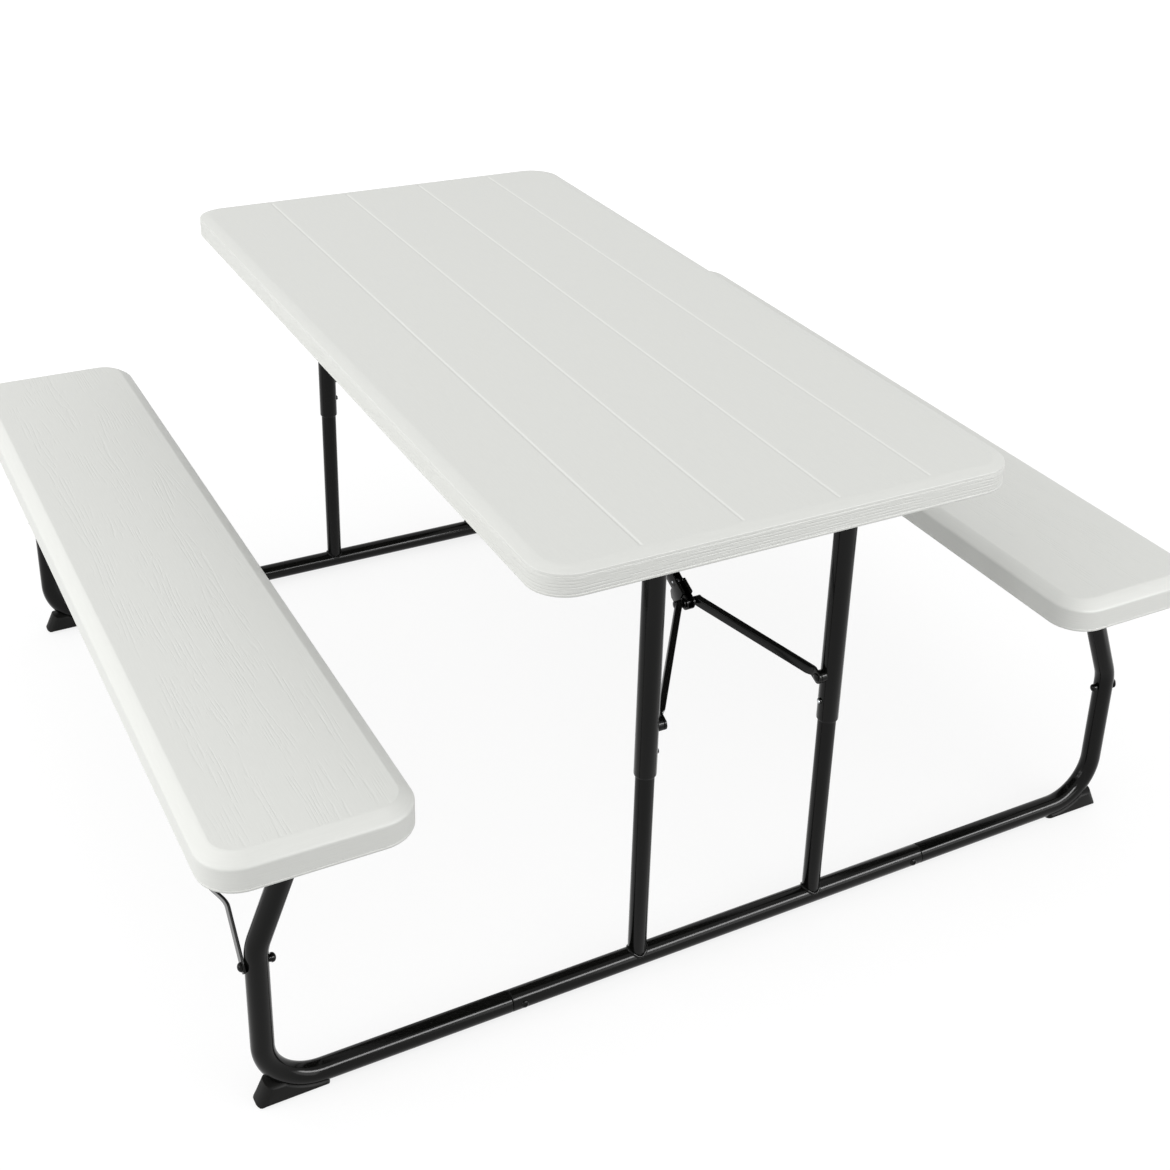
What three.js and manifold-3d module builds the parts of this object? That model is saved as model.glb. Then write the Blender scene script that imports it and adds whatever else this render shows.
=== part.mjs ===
// A folding table with a bench on each side: moulded plastic panels on a bent steel tube frame.
// Millimetres, +Z up. X runs along the table, Y across it, and the origin is on the floor at the middle.
import * as THREE from "three";
import { mergeVertices } from "three/addons/utils/BufferGeometryUtils.js";
import Module from "manifold-3d";

const wasm = await Module();
wasm.setup();

// Moulded panels: the tabletop and the two seats
const TABLE_LENGTH = 1372;
const TABLE_WIDTH = 673;
const TABLE_HEIGHT = 703;
const TABLE_THICKNESS = 35;
const TABLE_EDGE_DROP = 4;
const SEAT_LENGTH = 1372;
const SEAT_WIDTH = 253;
const SEAT_HEIGHT = 447;
const SEAT_THICKNESS = 45;
const SEAT_EDGE_DROP = 12;
const SEAT_SPACING = 1205;
const PANEL_CORNER_RADIUS = 50;
const PANEL_EDGE_INSET = 18;
const PANEL_FOOT_EASE = 2;
const PANEL_WALL = 3;
const PANEL_VENT_RADIUS = 5;
const PANEL_CORNER_STEPS = 6;
const PANEL_EDGE_STEPS = 3;
const PLANK_COUNT = 5;
const PLANK_WIDTH = 137;
const GROOVE_WIDTH = 5;
const GROOVE_DEPTH = 1.5;
const GROOVE_END_GAP = 2;

// End frames: tubes, their spacing and their bends
const FRAME_SETBACK = 94;
const LEG_SPACING = 282;
const BENCH_LEG_SPACING = 1312;
const RAIL_CLEARANCE = 2.5;
const RAIL_DIAMETER = 29;
const RAIL_JOINT_SPACING = 660;
const RAIL_SPIGOT_LENGTH = 40;
const UPPER_LEG_DIAMETER = 30;
const SLEEVE_WALL = 2;
const LEG_INSERT = 100;
const SLEEVE_END_HEIGHT = 315;
const TUBE_WALL = 1.5;
const TOP_BAR_DIAMETER = 25;
const HINGE_DROP = 16;
const BEND_RADIUS = 72;
const BEND_HEIGHT = 238;
const BENCH_LEG_OVERRUN = 12;
const FOLD_ANGLE = 85;

// Hinges and rails under the panels
const TABLE_RAIL_INSET = 56.5;
const TABLE_RAIL_WIDTH = 22;
const TABLE_RAIL_LIP = 8;
const TABLE_RAIL_OVERRUN = 22;
const SEAT_PIVOT_DROP = 26;
const SEAT_PIVOT_DIAMETER = 16;
const SEAT_PIVOT_STANDOUT = 3;
const SEAT_EAR_SPACING = 54;
const SEAT_EAR_LENGTH = 32;
const SEAT_EAR_LIP = 6;
const SEAT_STRIP_THICKNESS = 3;
const SEAT_STRIP_OVERRUN = 40;
const EAR_THICKNESS = 3;

// Braces between the legs and the middle of the table
const BRACE_STUD_HEIGHT = 387;
const BRACE_STUD_DIAMETER = 8;
const BRACE_BOSS_DIAMETER = 18;
const BRACE_BOSS_LENGTH = 6;
const ARM_PLATE_THICKNESS = 3.5;
const ARM_PLATE_HEIGHT = 18;
const ARM_ROD_WIDTH = 11;
const ARM_ROD_HEIGHT = 15;
const ARM_EYE_LENGTH = 14;
const ARM_BEND = 3.5;
const ARM_CORNER_SHARE = 0.2;
const LINK_WIDTH = 12;
const LINK_DEPTH = 20;
const LINK_WALL = 2;
const LINK_PIN_DIAMETER = 7.4;
const LINK_PIN_OFFSET = 14;
const PIN_HEAD_DIAMETER = 12;
const PIN_HEAD_THICKNESS = 2;
const COLLAR_DIAMETER = 14;
const COLLAR_LENGTH = 2.4;
const LOCK_WALL = 2;
const LOCK_KEEL = 9;
const LOCK_LENGTH = 24;
const LOCK_CORNER = 7;
const LOCK_SLOT_WIDTH = 7;
const LOCK_STANDOFF = 8;
const CROSSBAR_WIDTH = 56;
const CROSSBAR_THICKNESS = 3;

// Struts between the bench legs and the seats
const STRUT_BOLT_HEIGHT = 217;
const STRUT_RUN = 158;
const STRUT_TOP_RISE = 8;
const STRUT_WIDTH = 18;
const STRUT_THICKNESS = 3.5;
const STRUT_JOG = 16;
const STRUT_JOG_START = 70;
const STRUT_JOG_LENGTH = 36;
const STRUT_BOLT_DIAMETER = 8;
const BOLT_HEAD_DIAMETER = 12;
const BOLT_HEAD_HEIGHT = 4.5;
const BOLT_CROWN_DIAMETER = 7;
const CAP_NUT_LENGTH = 8.5;
const STRUT_TAB_LENGTH = 30;

// Feet and snap buttons
const FOOT_LENGTH = 96;
const FOOT_WIDTH = 32;
const FOOT_TOE_WIDTH = 30;
const FOOT_HEEL_HEIGHT = 31;
const FOOT_HEEL_OVERHANG = 2;
const FOOT_HEEL_LEAN = 14;
const FOOT_HEEL_EASE = 9;
const FOOT_CHEEK = 5;
const BUTTON_HEIGHT = 347;
const BUTTON_DIAMETER = 8.4;
const BUTTON_FLANGE_DIAMETER = 13;
const BUTTON_FLANGE_THICKNESS = 2;
const BUTTON_CROWN_DIAMETER = 5;
const BUTTON_STANDOUT = 3.5;

// Fits
const GAP = 0.3;
const TURNING_GAP = 0.6;
const WELD = 1e-3;
const SIDES = 12;
const BEND_STEPS = 6;
const BAR_END_TURNS = [Math.PI / 3, Math.PI / 6];
const PAST = 1;

// Places that follow from the sizes
const frameX = TABLE_LENGTH / 2 - FRAME_SETBACK;
const tableUnderside = TABLE_HEIGHT - TABLE_THICKNESS;
const hingeZ = tableUnderside - HINGE_DROP;
const seatUnderside = SEAT_HEIGHT - SEAT_THICKNESS;
const seatPivotZ = seatUnderside - SEAT_PIVOT_DROP;
const seatY = SEAT_SPACING / 2;
const benchLegY = BENCH_LEG_SPACING / 2;
const legY = LEG_SPACING / 2;
const railRadius = RAIL_DIAMETER / 2;
const railHeight = RAIL_CLEARANCE + railRadius;
const sleeveRadius = UPPER_LEG_DIAMETER / 2;
const lowerLegRadius = sleeveRadius - SLEEVE_WALL - GAP;
const topBarRadius = TOP_BAR_DIAMETER / 2;
const railJointY = RAIL_JOINT_SPACING / 2;
const tableRailY = TABLE_WIDTH / 2 - TABLE_RAIL_INSET;

const NEAR = { name: "near", turn: 0 };
const FAR = { name: "far", turn: Math.PI };
const LEFT = -1;
const RIGHT = 1;

const WHITE_PLASTIC = { color: 0xdcddd9, roughness: 0.55, metalness: 0 };
const BLACK_STEEL = { color: 0x1a1a18, roughness: 0.4, metalness: 0.2 };
const BLACK_PLASTIC = { color: 0x222221, roughness: 0.6, metalness: 0 };
const ZINC = { color: 0xb9bcbe, roughness: 0.35, metalness: 0.9 };

// Turns a closed geometry into a solid whose faces point out, so that it can be joined and cut.
function solid(geometry) {
  const bare = geometry.index ? geometry.toNonIndexed() : geometry.clone();
  bare.deleteAttribute("normal");
  bare.deleteAttribute("uv");
  const welded = mergeVertices(bare, WELD);
  const corners = welded.attributes.position.array;
  const point = (i) => new THREE.Vector3().fromArray(corners, i * 3);
  const faces = [];
  let sixVolumes = 0;
  for (let i = 0; i < welded.index.count; i += 3) {
    const face = [0, 1, 2].map((k) => welded.index.array[i + k]);
    if (new Set(face).size < 3) continue;
    faces.push(face);
    const [a, b, c] = face.map(point);
    sixVolumes += a.dot(b.cross(c));
  }
  const outward = sixVolumes < 0 ? faces.map(([a, b, c]) => [a, c, b]) : faces;
  const triVerts = Uint32Array.from(outward.flat());
  return new wasm.Manifold(new wasm.Mesh({ numProp: 3, vertProperties: corners, triVerts }));
}

function join(...solids) {
  return solids.reduce((whole, piece) => whole.add(piece));
}

function cut(whole, ...tools) {
  return tools.reduce((left, tool) => left.subtract(tool), whole);
}

function geometryOf(made) {
  const { vertProperties, triVerts } = made.getMesh();
  const geometry = new THREE.BufferGeometry();
  geometry.setAttribute("position", new THREE.BufferAttribute(vertProperties, 3));
  geometry.setIndex(new THREE.BufferAttribute(triVerts, 1));
  geometry.computeVertexNormals();
  return geometry;
}

function addPiece(group, name, made, finish) {
  const mesh = new THREE.Mesh(geometryOf(made), new THREE.MeshStandardMaterial(finish));
  mesh.name = name;
  group.add(mesh);
}

// Joins rings of points, each with as many points as the next, into one closed solid.
function loft(rings) {
  const count = rings[0].length;
  const points = rings.flat();
  const faces = [];
  for (let r = 0; r + 1 < rings.length; r += 1) {
    for (let i = 0; i < count; i += 1) {
      const a = r * count + i;
      const b = r * count + ((i + 1) % count);
      faces.push(a, b, b + count, a, b + count, a + count);
    }
  }
  const last = (rings.length - 1) * count;
  for (let i = 1; i + 1 < count; i += 1) {
    faces.push(0, i + 1, i, last, last + i, last + i + 1);
  }
  const geometry = new THREE.BufferGeometry().setFromPoints(points);
  geometry.setIndex(faces);
  return solid(geometry);
}

function block(x0, x1, y0, y1, z0, z1) {
  const box = new THREE.BoxGeometry(x1 - x0, y1 - y0, z1 - z0);
  return solid(box.translate((x0 + x1) / 2, (y0 + y1) / 2, (z0 + z1) / 2));
}

function rodAlongY(radius, y0, y1, x = 0, z = 0) {
  const rod = new THREE.CylinderGeometry(radius, radius, Math.abs(y1 - y0), SIDES);
  return solid(rod.translate(x, (y0 + y1) / 2, z));
}

function rodAlongZ(radius, z0, z1, x = 0, y = 0) {
  const rod = new THREE.CylinderGeometry(radius, radius, z1 - z0, SIDES).rotateX(Math.PI / 2);
  return solid(rod.translate(x, y, (z0 + z1) / 2));
}

// A round profile of [radius, station] pairs turned about the Y axis. A bored profile closes on itself.
function turned(profile) {
  const points = profile.map(([radius, y]) => new THREE.Vector2(radius, y));
  return new THREE.LatheGeometry(points, SIDES);
}

function tubeProfile(outer, inner, start, end) {
  return [[inner, start], [outer, start], [outer, end], [inner, end], [inner, start]];
}

function tubeAlongY(outer, inner, y0, y1) {
  return solid(turned(tubeProfile(outer, inner, y0, y1)));
}

function tubeAlongZ(outer, inner, z0, z1) {
  return solid(turned(tubeProfile(outer, inner, z0, z1)).rotateX(Math.PI / 2));
}

// A flat plate with an outline in X and Z, from one Y to another.
function plate(outline, y0, y1) {
  const shape = new THREE.Shape(outline.map(([x, z]) => new THREE.Vector2(x, z)));
  const flat = new THREE.ExtrudeGeometry(shape, { depth: y1 - y0, bevelEnabled: false });
  return solid(flat.rotateX(Math.PI / 2).translate(0, y1, 0));
}

// Round solid along a path in the Y-Z plane, mitred at each point of the path.
function sweepRound(path, radius) {
  const rings = path.map((point, i) => {
    const before = path[Math.max(i - 1, 0)];
    const after = path[Math.min(i + 1, path.length - 1)];
    const back = new THREE.Vector2().subVectors(point, before).normalize();
    const ahead = new THREE.Vector2().subVectors(after, point).normalize();
    const along = new THREE.Vector2().addVectors(back, ahead).normalize();
    const straight = i > 0 && i + 1 < path.length ? along.dot(ahead) : 1;
    const side = new THREE.Vector2(-along.y, along.x).multiplyScalar(radius / straight);
    return Array.from({ length: SIDES }, (_, k) => {
      const turn = (k / SIDES) * 2 * Math.PI;
      const across = radius * Math.cos(turn);
      const inPlane = side.clone().multiplyScalar(Math.sin(turn)).add(point);
      return new THREE.Vector3(across, inPlane.x, inPlane.y);
    });
  });
  return loft(rings);
}

// Outline of a panel at one level, drawn in from its widest outline by an inset.
function panelRing(length, width, inset, z) {
  const radius = PANEL_CORNER_RADIUS - inset;
  const quarters = [[1, 1], [-1, 1], [-1, -1], [1, -1]];
  return quarters.flatMap(([sx, sy], quarter) => {
    const centreX = sx * (length / 2 - PANEL_CORNER_RADIUS);
    const centreY = sy * (width / 2 - PANEL_CORNER_RADIUS);
    return Array.from({ length: PANEL_CORNER_STEPS + 1 }, (_, i) => {
      const angle = (quarter + i / PANEL_CORNER_STEPS) * (Math.PI / 2);
      const x = centreX + radius * Math.cos(angle);
      return new THREE.Vector3(x, centreY + radius * Math.sin(angle), z);
    });
  });
}

// A hollow moulded panel with a soft top edge and two vent holes in its underside.
function panel(length, width, top, thickness, edgeDrop) {
  const bottom = top - thickness;
  const shoulder = top - edgeDrop;
  const rings = [
    panelRing(length, width, PANEL_FOOT_EASE, bottom),
    panelRing(length, width, 0, bottom + PANEL_FOOT_EASE),
  ];
  for (let i = 0; i <= PANEL_EDGE_STEPS; i += 1) {
    const share = i / PANEL_EDGE_STEPS;
    const drop = edgeDrop * (1 - share) ** 2;
    rings.push(panelRing(length, width, PANEL_EDGE_INSET * share, top - drop));
  }
  const innerInset = PANEL_FOOT_EASE + PANEL_WALL;
  const cavity = loft([
    panelRing(length, width, innerInset, bottom + PANEL_WALL),
    panelRing(length, width, innerInset, shoulder - PANEL_WALL),
    panelRing(length, width, PANEL_EDGE_INSET + PANEL_WALL, top - PANEL_WALL),
  ]);
  const vents = [-1, 1].map((end) => {
    return rodAlongZ(PANEL_VENT_RADIUS, bottom - PAST, bottom + 2 * PANEL_WALL, (end * length) / 4);
  });
  return cut(loft(rings), cavity, ...vents);
}

function makeTabletop() {
  const halfLength = TABLE_LENGTH / 2 - PANEL_EDGE_INSET - GROOVE_END_GAP;
  const floor = TABLE_HEIGHT - GROOVE_DEPTH;
  const grooves = Array.from({ length: PLANK_COUNT - 1 }, (_, i) => {
    const y = PLANK_WIDTH * (i + 1 - PLANK_COUNT / 2);
    const half = GROOVE_WIDTH / 2;
    return block(-halfLength, halfLength, y - half, y + half, floor, TABLE_HEIGHT + PAST);
  });
  const board = panel(TABLE_LENGTH, TABLE_WIDTH, TABLE_HEIGHT, TABLE_THICKNESS, TABLE_EDGE_DROP);
  return cut(board, ...grooves);
}

// A box-section rail under one side of the tabletop, bored on its inner side for the frames' top bars.
function makeTableRail(side) {
  const top = tableUnderside - GAP;
  const bottom = hingeZ - topBarRadius - TABLE_RAIL_LIP;
  const half = TABLE_RAIL_WIDTH / 2;
  const end = frameX + TABLE_RAIL_OVERRUN;
  const y = side * tableRailY;
  const outside = block(-end, end, y - half, y + half, bottom, top);
  const thin = half - TUBE_WALL;
  const inside = block(
    -end - PAST, end + PAST, y - thin, y + thin, bottom + TUBE_WALL, top - TUBE_WALL,
  );
  const bores = [-frameX, frameX].map((x) => {
    return rodAlongY(topBarRadius + TURNING_GAP, y, y - side * (half + PAST), x, hingeZ);
  });
  return cut(outside, inside, ...bores);
}

// Brace sizes: straight when the table stands, and folded back on itself when the frame is folded.
function braceSizes() {
  const run = frameX - LINK_PIN_OFFSET;
  const drop = hingeZ - BRACE_STUD_HEIGHT;
  const fold = THREE.MathUtils.degToRad(FOLD_ANGLE);
  const open = Math.hypot(run, drop);
  const closed = Math.hypot(run - drop * Math.sin(fold), drop * Math.cos(fold));
  return { slope: Math.atan2(drop, run), link: (open + closed) / 2, arm: (open - closed) / 2 };
}
const brace = braceSizes();
const linkBoreRadius = LINK_PIN_DIAMETER / 2 + TURNING_GAP;
const clevisY = LINK_WIDTH / 2 + TURNING_GAP;

// The crossbar between the table rails, with two ears that carry both brace links.
function makeCrossbar() {
  const top = tableUnderside - GAP;
  const halfWidth = CROSSBAR_WIDTH / 2;
  const halfLength = tableRailY - TABLE_RAIL_WIDTH / 2 - GAP;
  const strap = block(
    -halfWidth, halfWidth, -halfLength, halfLength, top - CROSSBAR_THICKNESS, top,
  );
  const earBottom = hingeZ - LINK_DEPTH / 2;
  const ears = [LEFT, RIGHT].map((side) => {
    const inner = side * clevisY;
    const outer = side * (clevisY + EAR_THICKNESS);
    const [y0, y1] = [Math.min(inner, outer), Math.max(inner, outer)];
    return block(-halfWidth, halfWidth, y0, y1, earBottom, top - CROSSBAR_THICKNESS / 2);
  });
  const reach = clevisY + EAR_THICKNESS + PAST;
  const bores = [-1, 1].map((end) => {
    return rodAlongY(linkBoreRadius, -reach, reach, end * LINK_PIN_OFFSET, hingeZ);
  });
  return cut(join(strap, ...ears), ...bores);
}

function makeLinkPin() {
  const shank = clevisY + EAR_THICKNESS + GAP;
  const reach = shank + PIN_HEAD_THICKNESS;
  const r = LINK_PIN_DIAMETER / 2;
  const head = PIN_HEAD_DIAMETER / 2;
  return solid(turned([
    [0, -reach], [head, -reach], [head, -shank], [r, -shank],
    [r, shank], [head, shank], [head, reach], [0, reach],
  ]));
}

// The rest of a brace is drawn along its own X axis, from the link's pin at 0 to the leg's stud.
function makeLink() {
  const half = LINK_DEPTH / 2;
  const outline = [];
  for (let i = 0; i <= SIDES / 2; i += 1) {
    const turn = Math.PI / 2 + (i / (SIDES / 2)) * Math.PI;
    outline.push([half * Math.cos(turn), half * Math.sin(turn)]);
  }
  for (let i = 0; i <= SIDES / 2; i += 1) {
    const turn = -Math.PI / 2 + (i / (SIDES / 2)) * Math.PI;
    outline.push([brace.link + half * Math.cos(turn), half * Math.sin(turn)]);
  }
  const outer = LINK_WIDTH / 2;
  const inner = outer - LINK_WALL;
  const hollow = half - LINK_WALL;
  const open = half + PAST;
  const end = brace.link;
  const clevisEnd = block(-open, half, -inner, inner, -open, open);
  const channel = block(0, end, -inner, inner, -hollow, open);
  const roundEnd = rodAlongY(hollow, -inner, inner, end);
  const overPin = block(end, end + open, -inner, inner, 0, open);
  const bores = [0, end].map((x) => rodAlongY(linkBoreRadius, -outer - PAST, outer + PAST, x));
  return cut(plate(outline, -outer, outer), clevisEnd, channel, roundEnd, overPin, ...bores);
}

const collarY = LINK_WIDTH / 2 + GAP;

function makeKnucklePin() {
  const r = LINK_PIN_DIAMETER / 2;
  const collar = COLLAR_DIAMETER / 2;
  const end = collarY + COLLAR_LENGTH;
  const pin = turned([
    [0, -end], [collar, -end], [collar, -collarY], [r, -collarY],
    [r, collarY], [collar, collarY], [collar, end], [0, end],
  ]);
  return solid(pin.translate(brace.link, 0, 0));
}

// A sleeve that slides along the link beside the knuckle, slotted on top and cut off at its lower corners.
function makeLockSlider() {
  const x1 = brace.link - LOCK_STANDOFF;
  const x0 = x1 - LOCK_LENGTH;
  const inY = LINK_WIDTH / 2 + GAP;
  const inZ = LINK_DEPTH / 2 + GAP;
  const outY = inY + LOCK_WALL;
  const top = inZ + LOCK_WALL;
  const bottom = -inZ - LOCK_KEEL;
  const corner = bottom + LOCK_CORNER;
  const outline = [
    [x0 + LOCK_CORNER, bottom], [x1 - LOCK_CORNER, bottom], [x1, corner],
    [x1, top], [x0, top], [x0, corner],
  ];
  const hole = block(x0 - PAST, x1 + PAST, -inY, inY, -inZ, inZ);
  const halfSlot = LOCK_SLOT_WIDTH / 2;
  const slot = block(x0 - PAST, x1 + PAST, -halfSlot, halfSlot, 0, top + PAST);
  return cut(plate(outline, -outY, outY), hole, slot);
}

const armKnuckleY = collarY + COLLAR_LENGTH + GAP + ARM_PLATE_THICKNESS / 2;
const studFaceY = legY - sleeveRadius - BRACE_BOSS_LENGTH;
const armStudY = studFaceY - GAP - ARM_PLATE_THICKNESS / 2;

// Stations that round off the end of a flat bar: how far past its eye, and how high the bar is there.
function barEnd(half) {
  return BAR_END_TURNS.map((turn) => [half * Math.sin(turn), 2 * half * Math.cos(turn)]);
}

function armRing(x, y, width, height) {
  const flat = 1 - ARM_CORNER_SHARE;
  const signs = [[1, 1], [-1, 1], [-1, -1], [1, -1]];
  return signs.flatMap(([sy, sz], i) => {
    const full = new THREE.Vector3(x, y + (sy * width) / 2, ((sz * height) / 2) * flat);
    const eased = new THREE.Vector3(x, y + ((sy * width) / 2) * flat, (sz * height) / 2);
    return i % 2 ? [eased, full] : [full, eased];
  });
}

// One arm of a brace: a rod flattened at both ends, from the knuckle out to the stud on a leg.
function makeArm(side) {
  const knuckle = brace.link;
  const stud = brace.link + brace.arm;
  const half = ARM_PLATE_HEIGHT / 2;
  const a = side * armKnuckleY;
  const b = side * armStudY;
  const bend = side * ARM_BEND;
  const flat = (x, y, height) => armRing(x, y, ARM_PLATE_THICKNESS, height);
  const nose = barEnd(half);
  const rings = [
    ...nose.map(([past, height]) => flat(knuckle - past, a, height)),
    flat(knuckle + half + PAST, a, ARM_PLATE_HEIGHT),
    armRing(knuckle + ARM_EYE_LENGTH, a + bend, ARM_ROD_WIDTH, ARM_ROD_HEIGHT),
    armRing(stud - ARM_EYE_LENGTH, b - bend, ARM_ROD_WIDTH, ARM_ROD_HEIGHT),
    flat(stud - half - PAST, b, ARM_PLATE_HEIGHT),
    ...nose.toReversed().map(([past, height]) => flat(stud + past, b, height)),
  ];
  const outer = side * (armKnuckleY + ARM_PLATE_THICKNESS / 2);
  const head = outer + side * PIN_HEAD_THICKNESS;
  const rivet = rodAlongY(PIN_HEAD_DIAMETER / 2, outer - side * PAST, head, knuckle);
  const reach = side * (ARM_PLATE_THICKNESS + PAST);
  const bore = rodAlongY(BRACE_STUD_DIAMETER / 2 + TURNING_GAP, b - reach, b + reach, stud);
  return cut(join(loft(rings), rivet), bore);
}

// An upper leg: a sleeve for the lower leg, with its welded brace stud and a hole for the snap button.
function makeUpperLeg(side) {
  const y = side * legY;
  const inward = -side;
  const boreRadius = sleeveRadius - SLEEVE_WALL;
  const tube = rodAlongZ(sleeveRadius, SLEEVE_END_HEIGHT, hingeZ, 0, y);
  const face = side * studFaceY;
  const shank = face + inward * (ARM_PLATE_THICKNESS + 2 * GAP);
  const boss = rodAlongY(BRACE_BOSS_DIAMETER / 2, y, face, 0, BRACE_STUD_HEIGHT);
  const stud = rodAlongY(BRACE_STUD_DIAMETER / 2, y, shank, 0, BRACE_STUD_HEIGHT);
  const headEnd = shank + inward * PIN_HEAD_THICKNESS;
  const head = rodAlongY(PIN_HEAD_DIAMETER / 2, shank, headEnd, 0, BRACE_STUD_HEIGHT);
  const bore = rodAlongZ(boreRadius, SLEEVE_END_HEIGHT - PAST, hingeZ + PAST, 0, y);
  const saddle = rodAlongY(topBarRadius + GAP, y - 2 * sleeveRadius, y + 2 * sleeveRadius, 0, hingeZ);
  return cut(join(tube, boss, stud, head), bore, saddle, buttonHole(side));
}

function buttonHole(side) {
  const y = side * legY;
  const past = y - side * (sleeveRadius + PAST);
  return rodAlongY(BUTTON_DIAMETER / 2 + GAP, y, past, 0, BUTTON_HEIGHT);
}

function makeLowerLeg(side) {
  const y = side * legY;
  const top = SLEEVE_END_HEIGHT + LEG_INSERT;
  const tube = tubeAlongZ(lowerLegRadius, lowerLegRadius - TUBE_WALL, railHeight, top);
  const reach = lowerLegRadius + PAST;
  const rail = rodAlongY(railRadius + GAP, y - reach, y + reach, 0, railHeight);
  return cut(tube.translate([0, y, 0]), rail, buttonHole(side));
}

// A snap button that stands out of its leg, with a flange that stops it inside the tube.
function makeButton(side) {
  const r = BUTTON_DIAMETER / 2;
  const flange = BUTTON_FLANGE_DIAMETER / 2;
  const inside = lowerLegRadius - TUBE_WALL;
  const seat = Math.sqrt(inside ** 2 - flange ** 2) - GAP;
  const end = sleeveRadius + BUTTON_STANDOUT;
  const shoulder = end - BUTTON_STANDOUT / 2;
  const profile = [
    [0, seat - BUTTON_FLANGE_THICKNESS], [flange, seat - BUTTON_FLANGE_THICKNESS],
    [flange, seat], [r, seat], [r, shoulder], [BUTTON_CROWN_DIAMETER / 2, end], [0, end],
  ];
  const button = turned(profile.map(([radius, out]) => [radius, -side * out]));
  return solid(button.translate(0, side * legY, BUTTON_HEIGHT));
}

// Centre line of a bench leg from the rail joint, round the floor bend and up to the seat's pivot.
function benchLegPath() {
  const lean = Math.atan2(benchLegY - seatY, seatPivotZ - BEND_HEIGHT);
  const tangent = BEND_RADIUS * Math.tan(lean / 2);
  const path = [new THREE.Vector2(railJointY + GAP, railHeight)];
  const floorCentre = new THREE.Vector2(benchLegY - BEND_RADIUS, railHeight + BEND_RADIUS);
  for (let i = 0; i <= BEND_STEPS; i += 1) {
    const turn = (i / BEND_STEPS) * (Math.PI / 2);
    const out = new THREE.Vector2(Math.sin(turn), -Math.cos(turn));
    path.push(out.multiplyScalar(BEND_RADIUS).add(floorCentre));
  }
  const upperCentre = new THREE.Vector2(benchLegY - BEND_RADIUS, BEND_HEIGHT - tangent);
  for (let i = 0; i <= BEND_STEPS / 2; i += 1) {
    const turn = (i / (BEND_STEPS / 2)) * lean;
    const out = new THREE.Vector2(Math.cos(turn), Math.sin(turn));
    path.push(out.multiplyScalar(BEND_RADIUS).add(upperCentre));
  }
  const upward = new THREE.Vector2(-Math.sin(lean), Math.cos(lean));
  path.push(upward.multiplyScalar(BENCH_LEG_OVERRUN).add(new THREE.Vector2(seatY, seatPivotZ)));
  return path;
}
const legPath = benchLegPath();

function onSide(path, side) {
  return path.map((point) => new THREE.Vector2(side * point.x, point.y));
}

// The same path with its two ends pushed out, for bores that pass right through.
function lengthened(path) {
  const first = path[0].clone().sub(path[1]).setLength(PAST).add(path[0]);
  const before = path.at(-2);
  const last = path.at(-1).clone().sub(before).setLength(PAST).add(path.at(-1));
  return [first, ...path.slice(1, -1), last];
}

function makeBenchLeg(side) {
  const tube = sweepRound(onSide(legPath, side), railRadius);
  const bore = sweepRound(onSide(lengthened(legPath), side), railRadius - TUBE_WALL);
  const spigotRadius = railRadius - TUBE_WALL - GAP;
  const rootRadius = railRadius - TUBE_WALL / 2;
  const inside = spigotRadius - TUBE_WALL;
  const joint = railJointY + 2 * GAP;
  const tip = side * (joint - RAIL_SPIGOT_LENGTH);
  const root = side * (joint + RAIL_SPIGOT_LENGTH / 2);
  const spigot = turned([
    [inside, tip], [spigotRadius, tip], [spigotRadius, side * joint],
    [rootRadius, side * joint], [rootRadius, root], [inside, root], [inside, tip],
  ]);
  const reach = RAIL_DIAMETER;
  const y = side * benchLegY;
  const pivotY = side * seatY;
  const pivotBore = rodAlongY(
    SEAT_PIVOT_DIAMETER / 2 + GAP, pivotY - reach, pivotY + reach, 0, seatPivotZ,
  );
  const boltRadius = STRUT_BOLT_DIAMETER / 2 + GAP;
  const boltBore = rodAlongY(boltRadius, y - reach, y + reach, 0, STRUT_BOLT_HEIGHT);
  return join(cut(tube, bore, pivotBore, boltBore), solid(spigot.translate(0, 0, railHeight)));
}

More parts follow.
